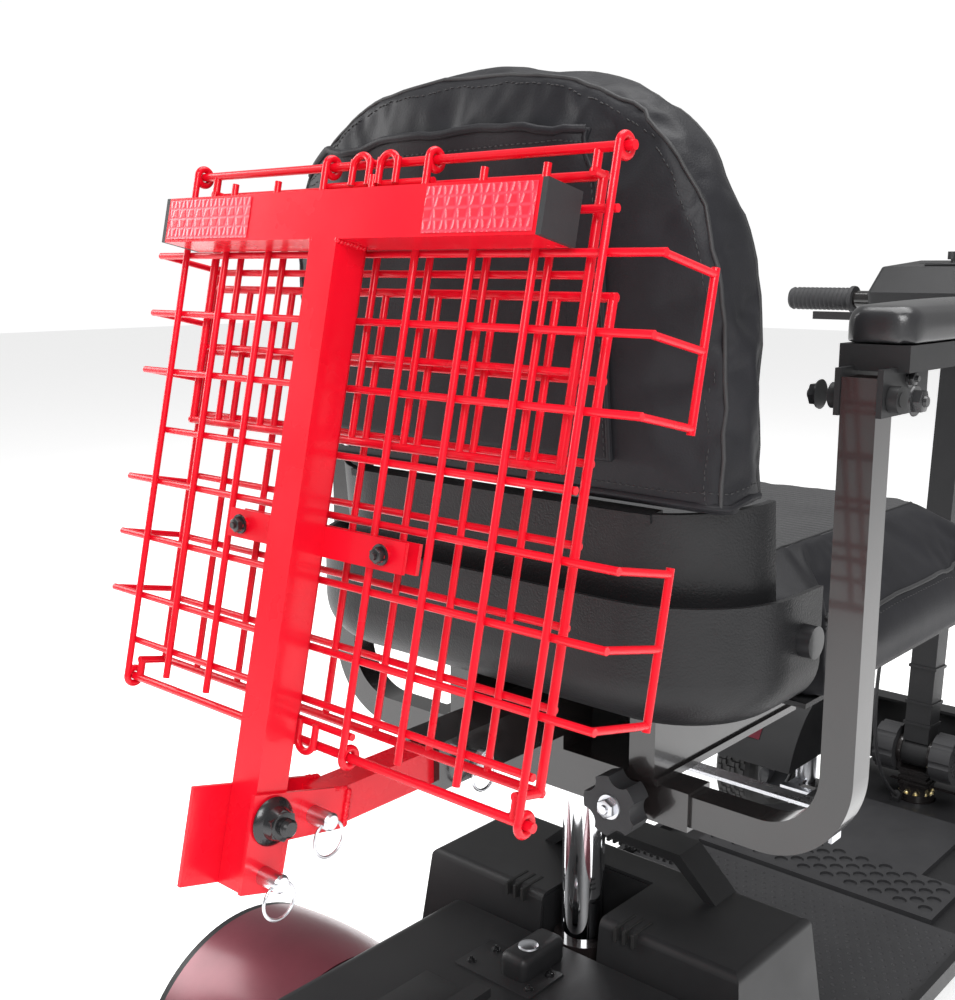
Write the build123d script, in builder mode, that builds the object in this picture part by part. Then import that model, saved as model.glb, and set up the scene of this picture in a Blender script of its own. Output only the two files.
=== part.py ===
"""Four-wheeled mobility scooter with a folding wire carrier behind its seat.

Millimetres. X is to the rider's right, Y is forward, Z is up from the ground.
The origin lies on the ground in the middle of the overall length and width.
"""

import os
from math import cos, radians, sin, tan

from build123d import *

os.makedirs("parts", exist_ok=True)

# ---------------------------------------------------------------- driving sizes

run_gap = 0.05  # radial clearance of a shaft in its hole
part_gap = 0.3  # clearance between pieces that move past each other

# wheels
wheel_base = 945
rear_axle_y = -425
rear_tyre_r = 102
rear_tyre_width = 65
rear_track = 465
front_tyre_r = 100
front_tyre_width = 60
front_track = 470
axle_r = 10
axle_tube_r = 20
axle_tube_half = 190
rim_share = 0.64  # rim radius over tyre radius

# chassis
frame_bottom = 58
rail_height = 36
rail_width = 30
rail_x = 78
frame_back = -530
deck_thickness = 5
deck_half_width = 205
deck_nose_half_width = 116
deck_back = -125
deck_nose = 390
deck_front = 560
mat_thickness = 4
panel_back = 197
panel_front = 455
kingpin_x = 165
kingpin_r = 7
steer_arm = 60
shell_wall = 3

# battery box
battery_back = -283
battery_front = -135
battery_half_width = 181
battery_top = 262
notch_half_width = 32
notch_end = -187

# seat
post_r = 19
post_y = -253
post_top = 415
socket_top = 228
seat_floor = 500
cushion_back = -282
cushion_front = 145
cushion_half_width = 225
cushion_height = 92
backrest_y = -295
backrest_z = 560
backrest_recline = 5.6
backrest_half_width = 217
backrest_thickness = 81
backrest_top = 977
pad_bottom = 664

# armrests
arm_tube = 25.4
arm_wall = 2
arm_x = 256
arm_z = 405
arm_y = -290
arm_bend = 60
arm_top = 750
receiver = 32
receiver_half_length = 138
pad_top = 800

# carrier
bar = 32
bar_half_length = 174.5
bar_y = -545
bar_z = 840
carrier_lean = 12.65
upright = 25.4
tube_wall = 2
upright_length = 424
cheek = 3
cheek_x = 13
pivot_w = 13
pivot_v = -376
lock_reach = 36
cheek_bottom = -423
cheek_rear = -30
pin_r = 6.25
pivot_bolt_r = 6
hitch_z = 458
hitch_tube = 26
hitch_wall = 2.5
wire_r = 2.5
rod_r = 3
base_w = 35.2
eye_r = 6
eye_wire_r = 2.6
rod_w = base_w + eye_r
base_top = 60
base_bottom = -328
short_wall = 185
long_wall = 306

# tiller
tilt_z = 165
tiller_lean = 4.5
column_length = 630
column_wall = 3
stem_r = 12
knob_r = 33
grip_half_width = 190
grip_length = 86
handlebar_y = 465
handlebar_z = 780

# ---------------------------------------------------------------- worked-out places

front_axle_y = rear_axle_y + wheel_base
frame_top = frame_bottom + rail_height
beam_top = frame_bottom + 18
rail_front = front_axle_y - steer_arm - 20
deck_top = frame_top + deck_thickness
mat_top = deck_top + mat_thickness
lean = radians(carrier_lean)
rack = Plane(
    origin=(0, bar_y, bar_z), x_dir=(1, 0, 0), z_dir=(0, -cos(lean), sin(lean))
)


def rack_point(u, v, w):
    """A point given across, along and in front of the carrier's upright."""
    return (
        u,
        bar_y + v * sin(lean) + w * cos(lean),
        bar_z + v * cos(lean) - w * sin(lean),
    )


def rack_side(x):
    """A plane square to X whose axes run forward and up along the upright."""
    return Plane(
        origin=(x, bar_y, bar_z), x_dir=(0, cos(lean), -sin(lean)), z_dir=(1, 0, 0)
    )


pivot = rack_point(0, pivot_v, pivot_w)
front_reach = -rack_point(0, cheek_bottom, cheek_rear)[1]
hitch_back = rack_point(0, pivot_v, pivot_w + 52)[1]
backrest_side = Plane(
    origin=(0, backrest_y, backrest_z),
    x_dir=(0, cos(radians(backrest_recline)), sin(radians(backrest_recline))),
    z_dir=(1, 0, 0),
)
backrest_back = Plane(
    origin=(0, backrest_y, backrest_z),
    x_dir=(1, 0, 0),
    z_dir=(0, -cos(radians(backrest_recline)), -sin(radians(backrest_recline))),
)
back_face = 89  # from the pivot back to the backrest's rear face
column_plane = Plane(
    origin=(0, front_axle_y, tilt_z),
    x_dir=(1, 0, 0),
    z_dir=(0, sin(radians(tiller_lean)), cos(radians(tiller_lean))),
)

# the cable's route from its gland on the tiller's column to its gland on the deck
cable_r = 2.5
cable_route = [
    (-6, 515.8, 454.2),
    (-7, 493, 455),
    (-10, 462, 436),
    (-13, 435, 397),
    (-16, 417, 350),
    (-18, 408, 298),
    (-19, 409, 245),
    (-20, 421, 193),
    (-19, 444, 150),
    (-17, 474, 117),
    (-16, 489, 108),
]


def cable_gland(end, beside, length):
    """A stub in the open builder, whose face meets the cable's end squarely."""
    out = Vector(*end) - Vector(*beside)
    with BuildSketch(Plane(origin=end, z_dir=out)) as stub:
        Circle(6)
    extrude(stub.sketch, amount=length)


# ---------------------------------------------------------------- helpers


def block(x, y, z, mode=Mode.ADD):
    """A box in the open builder, between two values along each axis."""
    middle = ((x[0] + x[1]) / 2, (y[0] + y[1]) / 2, (z[0] + z[1]) / 2)
    with Locations(middle):
        return Box(x[1] - x[0], y[1] - y[0], z[1] - z[0], mode=mode)


def rod(axis, middle, radius, length, mode=Mode.ADD):
    """A round bar in the open builder, along one axis."""
    turn = {"x": (0, 90, 0), "y": (90, 0, 0), "z": (0, 0, 0)}[axis]
    with Locations(middle):
        return Cylinder(radius, length, rotation=turn, mode=mode)


def keep(piece, label):
    """Names a finished piece and writes its file."""
    piece.part.label = label
    export_step(piece.part, f"parts/{label}.step")


# ---------------------------------------------------------------- chassis

with BuildPart() as chassis_frame:
    for side in (-1, 1):
        block(
            (side * rail_x - rail_width / 2, side * rail_x + rail_width / 2),
            (frame_back, rail_front),
            (frame_bottom, frame_top),
        )
    for y in (frame_back + 15, post_y, -80, 150, 330, rail_front - 15):
        block((-rail_x, rail_x), (y - 15, y + 15), (frame_bottom, frame_top))
    # a low spine under the steering links, with a post at its nose for the deck
    block((-60, 60), (rail_front - 20, front_axle_y + 60), (frame_bottom, beam_top))
    block((-60, 60), (front_axle_y + 30, front_axle_y + 60), (frame_bottom, frame_top))
    # the front beam with its kingpins, and the steering head
    block(
        (-kingpin_x - 16, kingpin_x + 16),
        (front_axle_y - 16, front_axle_y + 16),
        (frame_bottom, beam_top),
    )
    for side in (-1, 1):
        rod(
            "z",
            (side * kingpin_x, front_axle_y, (frame_bottom + front_tyre_r + 35) / 2),
            kingpin_r,
            front_tyre_r + 35 - frame_bottom,
        )
    # the seat post's socket
    rod("z", (0, post_y, (frame_bottom + socket_top) / 2), 26, socket_top - frame_bottom)
    rod("z", (0, post_y, socket_top), post_r + run_gap, 2 * (socket_top - 100), Mode.SUBTRACT)
    rod("z", (0, front_axle_y, frame_bottom), stem_r + run_gap, 100, Mode.SUBTRACT)
    # the axle tube's saddle and the anti-tip struts
    rod("x", (0, rear_axle_y, rear_tyre_r), axle_tube_r, 2 * rail_x + 2 * rail_width,
        Mode.SUBTRACT)
    for side in (-1, 1):
        block((side * rail_x - 8, side * rail_x + 8), (frame_back - 60, frame_back), (58, 74))
        block(
            (side * rail_x - 8, side * rail_x + 8), (frame_back - 60, frame_back - 36), (20, 74)
        )
    rod("x", (0, frame_back - 48, 30), 4, 2 * rail_x + 70)
keep(chassis_frame, "chassis_frame")

with BuildPart() as anti_tip_wheels:
    for side in (-1, 1):
        middle = (side * (rail_x + 19), frame_back - 48, 30)
        rod("x", middle, 26, 18)
        rod("x", middle, 4 + run_gap, 30, Mode.SUBTRACT)
    fillet(anti_tip_wheels.edges().filter_by(GeomType.CIRCLE).sort_by(SortBy.RADIUS)[-4:], 4)
keep(anti_tip_wheels, "anti_tip_wheels")

deck_outline = [
    (deck_half_width, deck_back),
    (deck_half_width, deck_nose - 95),
    (deck_nose_half_width, deck_nose),
    (deck_nose_half_width, deck_front),
    (-deck_nose_half_width, deck_front),
    (-deck_nose_half_width, deck_nose),
    (-deck_half_width, deck_nose - 95),
    (-deck_half_width, deck_back),
]
with BuildPart() as deck_pan:
    with BuildSketch(Plane.XY.offset(frame_top)):
        with BuildLine():
            Polyline(*deck_outline, close=True)
        make_face()
    extrude(amount=deck_thickness)
    # a raised kerb along both sides, and the tray that carries the battery
    for side in (-1, 1):
        kerb = side * (deck_half_width - 4)
        block((kerb - 4, kerb + 4), (deck_back, deck_nose - 100), (frame_top, deck_top + 14))
    block((-150, 150), (battery_back, deck_back), (frame_top, deck_top))
    rod("z", (0, post_y, frame_top), 26 + part_gap, 40, Mode.SUBTRACT)
    rod("z", (0, front_axle_y, frame_top), 26, 40, Mode.SUBTRACT)
    cable_gland(cable_route[-1], cable_route[-2], 6)
    block((-22, -10), (484, 494), (frame_top, 104))
keep(deck_pan, "deck_pan")

with BuildPart() as floor_mats:
    block((-deck_half_width + 12, deck_half_width - 12), (deck_back + 8, panel_back - 6),
          (deck_top, mat_top))
    block((-150, 150), (panel_back, panel_back + 95), (deck_top, mat_top + 3))
    block((-100, 100), (panel_back + 94, panel_front), (deck_top, mat_top + 3))
    with Locations((0, panel_back + 46, mat_top + 3)):
        with GridLocations(30, 26, 10, 3):
            Hole(8, 3)
    with Locations((0, panel_back + 46 + 13, mat_top + 3)):
        with GridLocations(30, 26, 9, 3):
            Hole(8, 3)
keep(floor_mats, "floor_mats")

# ---------------------------------------------------------------- rear body and drive

cover_half_width = 132
cover_back = -545
cover_front = battery_back - 1
cover_top = 229
cover_bottom = 112
fender_gap = 12
rear_fender_r = rear_tyre_r + fender_gap
rear_fender_out = 275
fender_out = 290
freewheel_x = 8
freewheel_y = -448
gearbox_top = 160

with BuildPart() as rear_cover:
    block((-cover_half_width, cover_half_width), (cover_back, cover_front),
          (cover_bottom, cover_top))
    fillet(rear_cover.edges().filter_by(Axis.X).group_by(Axis.Z)[-1].sort_by(Axis.Y)[0], 45)
    fillet(rear_cover.edges().filter_by(Axis.Z), 12)
    offset(amount=-shell_wall, openings=rear_cover.faces().sort_by(Axis.Z)[0])
    # clearance for the axle tubes
    for side in (-1, 1):
        rod("x", (side * cover_half_width, rear_axle_y, rear_tyre_r), axle_tube_r + part_gap, 40,
            Mode.SUBTRACT)
    # the freewheel lever's hole
    rod("z", (freewheel_x, freewheel_y, cover_top), 5 + part_gap, 30, Mode.SUBTRACT)
keep(rear_cover, "rear_cover")

with BuildPart() as drive_unit:
    rod("x", (0, rear_axle_y, rear_tyre_r), axle_tube_r, 2 * axle_tube_half)
    rod("x", (0, rear_axle_y, rear_tyre_r), axle_r, rear_track + rear_tyre_width + 6)
    block((-32, 32), (rear_axle_y - 35, rear_axle_y + 85), (rear_tyre_r - 6, gearbox_top))
    rod("x", (-66, rear_axle_y + 52, rear_tyre_r + 40), 36, 100)
keep(drive_unit, "drive_unit")

with BuildPart() as freewheel_lever:
    rod("z", (freewheel_x, freewheel_y, (gearbox_top + part_gap + 240) / 2), 5,
        240 - gearbox_top - part_gap)
    block((freewheel_x - 8, freewheel_x + 8), (freewheel_y - 10, freewheel_y + 50), (240, 248))
    fillet(freewheel_lever.edges().filter_by(Axis.Z).sort_by(Axis.Y)[0:2], 6)
keep(freewheel_lever, "freewheel_lever")

with BuildPart() as rear_fenders:
    for side in (-1, 1):
        middle = (side * (cover_half_width + rear_fender_out) / 2, rear_axle_y, rear_tyre_r)
        rod("x", middle, rear_fender_r + shell_wall, rear_fender_out - cover_half_width)
    for side in (-1, 1):
        inside = (side * (cover_half_width + shell_wall + rear_fender_out + 9) / 2, rear_axle_y,
                  rear_tyre_r)
        rod("x", inside, rear_fender_r, rear_fender_out - cover_half_width - shell_wall + 9,
            Mode.SUBTRACT)
        rod("x", (side * cover_half_width, rear_axle_y, rear_tyre_r), axle_tube_r + part_gap, 20,
            Mode.SUBTRACT)
    block((-400, 400), (-700, 0), (-50, rear_tyre_r + 5), Mode.SUBTRACT)
keep(rear_fenders, "rear_fenders")

front_fender_r = front_reach - front_axle_y - shell_wall
fender_in = 122
front_fender_z = front_tyre_r
with BuildPart() as front_shroud:
    for side in (-1, 1):
        middle = (side * (fender_in + fender_out) / 2, front_axle_y, front_fender_z)
        rod("x", middle, front_fender_r + shell_wall, fender_out - fender_in)
    for side in (-1, 1):
        inside = (side * (fender_in + shell_wall + fender_out + 9) / 2, front_axle_y,
                  front_fender_z)
        rod("x", inside, front_fender_r, fender_out - fender_in - shell_wall + 9, Mode.SUBTRACT)
    block((-400, 400), (0, 900), (-50, 142), Mode.SUBTRACT)
    # the nose between the two arches
    block((-fender_in, fender_in), (front_axle_y + 95, front_axle_y + 99), (deck_top, 205))
    block((-fender_in, fender_in), (front_axle_y + 70, front_axle_y + 99), (201, 205))
    # legs that carry the shroud on the deck
    for side in (-1, 1):
        block((side * 112 - 4, side * 112 + 4), (front_axle_y + 30, front_axle_y + 40),
              (deck_top, 205))
        block((min(side * 108, side * 124), max(side * 108, side * 124)),
              (front_axle_y + 30, front_axle_y + 99), (201, 205))
keep(front_shroud, "front_shroud")

with BuildPart() as front_bumper:
    block((-120, 120), (front_axle_y + 60, front_reach), (60, 90))
    fillet(front_bumper.edges().filter_by(Axis.Z).group_by(Axis.Y)[-1], 30)
    fillet(front_bumper.edges().filter_by(Axis.X).group_by(Axis.Y)[-1], 8)
keep(front_bumper, "front_bumper")

# ---------------------------------------------------------------- battery

seam_z = 150
handle_top = 298
with BuildPart() as battery_case:
    block((-battery_half_width + 8, battery_half_width - 8), (battery_back, battery_front - 6),
          (deck_top + part_gap, seam_z))
    fillet(battery_case.edges().filter_by(Axis.Z).group_by(Axis.Y)[-1], 25)
    offset(amount=-shell_wall, openings=battery_case.faces().sort_by(Axis.Z)[-1])
    block((-notch_half_width - 3, notch_half_width + 3), (battery_back - 1, notch_end + 3),
          (deck_top, deck_top + part_gap + shell_wall))
    block((-notch_half_width - 3, notch_half_width + 3), (battery_back, notch_end + 3),
          (deck_top + part_gap, seam_z))
    block((-notch_half_width, notch_half_width), (battery_back - 2, notch_end),
          (deck_top - 1, seam_z + 1), Mode.SUBTRACT)
keep(battery_case, "battery_case")

with BuildPart() as battery_lid:
    with BuildSketch(Plane.XY.offset(seam_z + part_gap)):
        with Locations((0, (battery_back + battery_front) / 2)):
            Rectangle(2 * battery_half_width, battery_front - battery_back)
    extrude(amount=battery_top - seam_z - part_gap, taper=6)
    fillet(battery_lid.edges().filter_by(GeomType.LINE).group_by(Axis.Z)[-1], 8)
    offset(amount=-shell_wall, openings=battery_lid.faces().sort_by(Axis.Z)[0])
    block((-notch_half_width - 3, notch_half_width + 3), (battery_back + 14, notch_end + 3),
          (seam_z + part_gap, battery_top - 4))
    block((-notch_half_width, notch_half_width), (battery_back - 2, notch_end),
          (seam_z - 1, battery_top + 1), Mode.SUBTRACT)
    # the carrying handle: a flat grip on two sloping feet, over a hand's room
    with BuildSketch(Plane.XZ.offset(150)):
        with BuildLine():
            Polyline((-98, battery_top - 1), (-58, handle_top), (58, handle_top),
                     (98, battery_top - 1), (86, battery_top - 1), (52, handle_top - 9),
                     (-52, handle_top - 9), (-86, battery_top - 1), close=True)
        make_face()
    extrude(amount=36)
keep(battery_lid, "battery_lid")

with BuildPart() as battery_cells:
    for side in (-1, 1):
        block((side * 96 - 56, side * 96 + 56), (battery_back + 16, battery_front - 22),
              (deck_top + part_gap + shell_wall, 205))
keep(battery_cells, "battery_cells")

# ---------------------------------------------------------------- wheels


def make_wheel(name, x, y, radius, width, bore):
    """A tyre and its spoked rim, standing on the ground."""
    side = 1 if x > 0 else -1
    rim_r = radius * rim_share
    with BuildPart() as tyre:
        rod("x", (x, y, radius), radius, width)
        fillet(tyre.edges(), width * 0.28)
        rod("x", (x, y, radius), rim_r, width + 2, Mode.SUBTRACT)
    keep(tyre, f"tyre_{name}")
    with BuildPart() as rim:
        rod("x", (x, y, radius), rim_r, width - 14)
        rod("x", (x, y, radius), rim_r - 8, width, Mode.SUBTRACT)
        rod("x", (x + side * 4, y, radius), rim_r - 7, 10)
        rod("x", (x, y, radius), 22, width - 16)
        with Locations(Location((x, y, radius), (0, 90, 0))):
            with PolarLocations((rim_r + 14) / 2, 5):
                Cylinder((rim_r - 30) / 2, 60, mode=Mode.SUBTRACT)
        rod("x", (x, y, radius), bore, width + 2, Mode.SUBTRACT)
    keep(rim, f"rim_{name}")


stub_r = 8
for name, side in (("left", -1), ("right", 1)):
    make_wheel(f"rear_{name}", side * rear_track / 2, rear_axle_y, rear_tyre_r,
               rear_tyre_width, axle_r + run_gap)
    make_wheel(f"front_{name}", side * front_track / 2, front_axle_y, front_tyre_r,
               front_tyre_width, stub_r + run_gap)

# ---------------------------------------------------------------- steering

knuckle_bottom = beam_top + part_gap
arm_bottom = knuckle_bottom + 2
arm_plate = 5
rod_bottom = arm_bottom + arm_plate + part_gap
link_pin_r = 4
tie_y = front_axle_y - steer_arm

for name, side in (("left", -1), ("right", 1)):
    with BuildPart() as knuckle:
        rod("z", (side * kingpin_x, front_axle_y, (knuckle_bottom + front_tyre_r + 30) / 2),
            15, front_tyre_r + 30 - knuckle_bottom)
        rod("x", (side * (kingpin_x + front_track / 2 + 34) / 2, front_axle_y, front_tyre_r),
            stub_r, front_track / 2 + 34 - kingpin_x)
        block((side * kingpin_x - 8, side * kingpin_x + 8), (tie_y - 8, front_axle_y),
              (arm_bottom, arm_bottom + arm_plate))
        rod("z", (side * kingpin_x, front_axle_y, 100), kingpin_r + run_gap, 100, Mode.SUBTRACT)
        rod("z", (side * kingpin_x, tie_y, arm_bottom), link_pin_r + run_gap, 30, Mode.SUBTRACT)
    keep(knuckle, f"steering_knuckle_{name}")

with BuildPart() as tie_rod:
    block((-kingpin_x - 7, kingpin_x + 7), (tie_y - 6, tie_y + 6), (rod_bottom, rod_bottom + 5))
    for x in (-kingpin_x, kingpin_x):
        rod("z", (x, tie_y, rod_bottom - 2), link_pin_r, 10)
    rod("z", (0, tie_y, rod_bottom - 2), link_pin_r, 10)
keep(tie_rod, "tie_rod")

with BuildPart() as tiller_stem:
    rod("z", (0, front_axle_y, (frame_bottom + deck_top) / 2), stem_r, deck_top - frame_bottom)
    block((-8, 8), (tie_y - 8, front_axle_y), (arm_bottom, arm_bottom + arm_plate))
    rod("z", (0, tie_y, arm_bottom), link_pin_r + run_gap, 30, Mode.SUBTRACT)
    rod("z", (0, front_axle_y, deck_top + 4), 24, 12)
    block((-18, 18), (front_axle_y - 16, front_axle_y + 16), (deck_top, tilt_z - 22))
    for z in (120, 128, 136):
        block((-20, 20), (front_axle_y - 18, front_axle_y + 18), (z, z + 3))
    for side in (-1, 1):
        block((side * 21 - 3, side * 21 + 3), (front_axle_y - 16, front_axle_y + 16),
              (tilt_z - 26, tilt_z))
        rod("x", (side * 21, front_axle_y, tilt_z), 22, 6)
    rod("x", (0, front_axle_y, tilt_z), 5, 120)
keep(tiller_stem, "tiller_stem")

with BuildPart() as tilt_knobs:
    for side in (-1, 1):
        rod("x", (side * 39, front_axle_y, tilt_z), knob_r, 28)
        with Locations(Location((side * 39, front_axle_y, tilt_z), (0, 90, 0))):
            with PolarLocations(knob_r + 4, 8):
                Cylinder(6, 40, mode=Mode.SUBTRACT)
        rod("x", (side * 39, front_axle_y, tilt_z), 5 + run_gap, 40, Mode.SUBTRACT)
keep(tilt_knobs, "tilt_knobs")

with BuildPart(column_plane) as tiller_column:
    rod("x", (0, 0, 0), 20, 2 * (18 - part_gap))
    rod("x", (0, 0, 0), 5 + run_gap, 60, Mode.SUBTRACT)
    block((-17, 17), (-17, 17), (17, column_length))
    hollow = 17 - column_wall
    block((-hollow, hollow), (-hollow, hollow), (24, column_length + 1), Mode.SUBTRACT)
    for z in (40, 70, 120, 190):
        block((-19, 19), (-19, 19), (z, z + 4))
    cable_gland(cable_route[0], cable_route[1], 14)
keep(tiller_column, "tiller_column")

console_y = (430, 598)
with BuildPart() as console:
    with BuildSketch(Plane.YZ):
        with BuildLine():
            Polyline((console_y[1], 768), (console_y[1] - 12, 830), (console_y[0] + 40, 822),
                     (console_y[0], 790), (console_y[0] + 8, 768), close=True)
        make_face()
    extrude(amount=75, both=True)
    fillet(console.faces().sort_by(Axis.X)[0].edges() + console.faces().sort_by(Axis.X)[-1].edges(),
           6)
    # the seat for the column's top and the handlebar's cross bore
    with Locations(column_plane.location):
        Box(34, 34, 2 * column_length, mode=Mode.SUBTRACT)
    rod("x", (0, handlebar_y, handlebar_z), 11, 300, Mode.SUBTRACT)
    rod("z", (0, 540, 824), 11, 30, Mode.SUBTRACT)
    rod("z", (-45, 530, 826), 4, 30, Mode.SUBTRACT)
    # the pin below that the throttle lever turns on
    rod("z", (0, handlebar_y - 10, 761.5), 4, 17)
    rod("z", (0, handlebar_y - 10, 752), 8, 3)
keep(console, "console")

with BuildPart() as handlebar:
    rod("x", (0, handlebar_y, handlebar_z), 11, 2 * grip_half_width)
keep(handlebar, "handlebar")

with BuildPart() as grips:
    for side in (-1, 1):
        middle = side * (grip_half_width - grip_length / 2)
        rod("x", (middle + side * 2, handlebar_y, handlebar_z), 15, grip_length + 4)
        rod("x", (middle, handlebar_y, handlebar_z), 11, grip_length, Mode.SUBTRACT)
keep(grips, "grips")

with BuildPart() as throttle_lever:
    block((-150, 150), (handlebar_y - 27, handlebar_y - 21), (754, 764))
    rod("z", (0, handlebar_y - 10, 759), 14, 10)
    rod("z", (0, handlebar_y - 10, 759), 4 + run_gap, 20, Mode.SUBTRACT)
keep(throttle_lever, "throttle_lever")

with BuildPart() as speed_dial:
    rod("z", (0, 540, 826), 11 - run_gap, 30)
    rod("z", (0, 540, 836), 15, 10)
keep(speed_dial, "speed_dial")

# ---------------------------------------------------------------- seat

hub_bottom = 380
plate_bottom = 421
plate_top = 427

with BuildPart() as seat_post:
    rod("z", (0, post_y, (110 + post_top) / 2), post_r, post_top - 110)
keep(seat_post, "seat_post")

with BuildPart() as seat_frame:
    rod("z", (0, post_y, (hub_bottom + plate_bottom) / 2), 28, plate_bottom - hub_bottom)
    block((-112, 112), (-310, -80), (plate_bottom, plate_top))
    block((-receiver_half_length, receiver_half_length),
          (arm_y - receiver / 2, arm_y + receiver / 2),
          (arm_z - receiver / 2, arm_z + receiver / 2))
    for side in (-1, 1):
        block((side * 97 - 12, side * 97 + 12), (-310, 60), (plate_top, seat_floor))
        # the boss that the clamp knob screws into
        rod("y", (side * 85, arm_y - receiver / 2 - 3, arm_z), 9, 6)
    # the cross tube's inside, with running room for the armrest tubes
    half = arm_tube / 2 + part_gap
    block((-receiver_half_length - 1, receiver_half_length + 1), (arm_y - half, arm_y + half),
          (arm_z - half, arm_z + half), Mode.SUBTRACT)
    bore_end = post_top + part_gap
    rod("z", (0, post_y, (hub_bottom + bore_end) / 2), post_r + run_gap, bore_end - hub_bottom,
        Mode.SUBTRACT)
    for side in (-1, 1):
        rod("y", (side * 85, arm_y - receiver / 2, arm_z), 4 + run_gap, 30, Mode.SUBTRACT)
    # the receiver for the carrier's hitch tube
    outer = hitch_tube / 2 + 6
    block((-outer, outer), (-460, -270), (hitch_z - outer, hitch_z + outer))
    block((-outer, outer), (-310, -270), (plate_top, hitch_z))
    inner = hitch_tube / 2 + part_gap
    block((-inner, inner), (-470, -275), (hitch_z - inner, hitch_z + inner), Mode.SUBTRACT)
    rod("x", (0, -425, hitch_z), 4 + run_gap, 60, Mode.SUBTRACT)
    # the swivel lever's pin
    rod("y", (48, -207, 400), 4, 30)
    block((40, 56), (-192, -186), (392, plate_bottom + 2))
keep(seat_frame, "seat_frame")

with BuildPart() as swivel_lever:
    block((40, 216), (-216, -200), (396, 399))
    block((213, 216), (-216, -200), (372, 399))
    rod("y", (48, -208, 400), 8, 16)
    rod("y", (48, -208, 400), 4 + run_gap, 30, Mode.SUBTRACT)
keep(swivel_lever, "swivel_lever")

shell_top = 595
bowl_back = -404
with BuildPart() as seat_shell:
    block((-222, 222), (bowl_back, -268), (seat_floor, shell_top))
    fillet(seat_shell.edges().filter_by(Axis.Z).group_by(Axis.Y)[0], 90)
    fillet(seat_shell.faces().sort_by(Axis.Z)[0].edges().group_by(Axis.Y)[0:-1], 40)
    offset(amount=-4, openings=[seat_shell.faces().sort_by(Axis.Z)[-1],
                                seat_shell.faces().sort_by(Axis.Y)[-1]])
    # the flat pan that carries the cushion
    block((-215, 215), (-272, 130), (seat_floor, seat_floor + 4))
    for side in (-1, 1):
        rod("x", (side * 220, backrest_y, backrest_z), 5 + run_gap, 20, Mode.SUBTRACT)
keep(seat_shell, "seat_shell")

with BuildPart() as backrest_bolts:
    for side in (-1, 1):
        rod("x", (side * 213, backrest_y, backrest_z), 5, 36)
        rod("x", (side * 227, backrest_y, backrest_z), 12, 10)
keep(backrest_bolts, "backrest_bolts")

with BuildPart() as seat_cushion:
    block((-cushion_half_width, cushion_half_width), (cushion_back, cushion_front),
          (seat_floor + 4 + part_gap, seat_floor + 4 + cushion_height))
    # the sides stand outside the pan, so the back corners are cut for the ears
    for side in (-1, 1):
        block((min(side * 178, side * 230), max(side * 178, side * 230)),
              (cushion_back - 1, -262), (seat_floor, shell_top + 10), Mode.SUBTRACT)
    fillet(seat_cushion.edges().filter_by(Axis.Z).group_by(Axis.Y)[-1], 60)
    fillet(seat_cushion.faces().sort_by(Axis.Z)[-1].edges(), 22)
keep(seat_cushion, "seat_cushion")

pad_up = pad_bottom - backrest_z
cheek_wall = 5
cheek_half_width = 206
backrest_up = Plane(
    origin=(0, backrest_y, backrest_z),
    x_dir=(1, 0, 0),
    z_dir=(0, -sin(radians(backrest_recline)), cos(radians(backrest_recline))),
)
with BuildPart() as backrest_shell:
    # a wall behind the seat, rounded at the corners, with an ear on each side
    for inset, low, mode in ((0, -20, Mode.ADD), (cheek_wall, -30, Mode.SUBTRACT)):
        with BuildSketch(backrest_up.offset(low)):
            with BuildLine():
                FilletPolyline(
                    (cheek_half_width - inset, 16 + inset),
                    (cheek_half_width - inset, -back_face + 5 + inset),
                    (-cheek_half_width + inset, -back_face + 5 + inset),
                    (-cheek_half_width + inset, 16 + inset),
                    radius=80 - inset,
                )
                Line((-cheek_half_width + inset, 16 + inset), (cheek_half_width - inset, 16 + inset))
            make_face()
        extrude(amount=pad_up - low, mode=mode)
    with BuildSketch(backrest_side):
        with BuildLine():
            Polyline((17, 6), (-10, 24), (-10, pad_up + 30), (60, pad_up + 30), (60, -60),
                     (17, -60), close=True)
        make_face()
    extrude(amount=250, both=True, mode=Mode.SUBTRACT)
    # a rib along the top, inside, that the pad is screwed to
    with BuildSketch(backrest_up.offset(pad_up - 6)):
        with Locations((0, -back_face + 14)):
            Rectangle(300, 16)
    extrude(amount=6)
    for side in (-1, 1):
        rod("x", (side * cheek_half_width, backrest_y, backrest_z), 5 + run_gap, 30, Mode.SUBTRACT)
keep(backrest_shell, "backrest_shell")

top_up = backrest_top - backrest_z + 3
pad_shoulder = 105
with BuildPart() as backrest_pad:
    with BuildSketch(backrest_back.offset(back_face)) as pad_outline:
        with Locations((0, (pad_up + top_up) / 2)):
            Rectangle(2 * backrest_half_width, top_up - pad_up)
        fillet(pad_outline.vertices().group_by(Axis.Z)[-1], pad_shoulder)
    extrude(amount=-backrest_thickness)
keep(backrest_pad, "backrest_pad")

# ---------------------------------------------------------------- armrests

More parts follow.
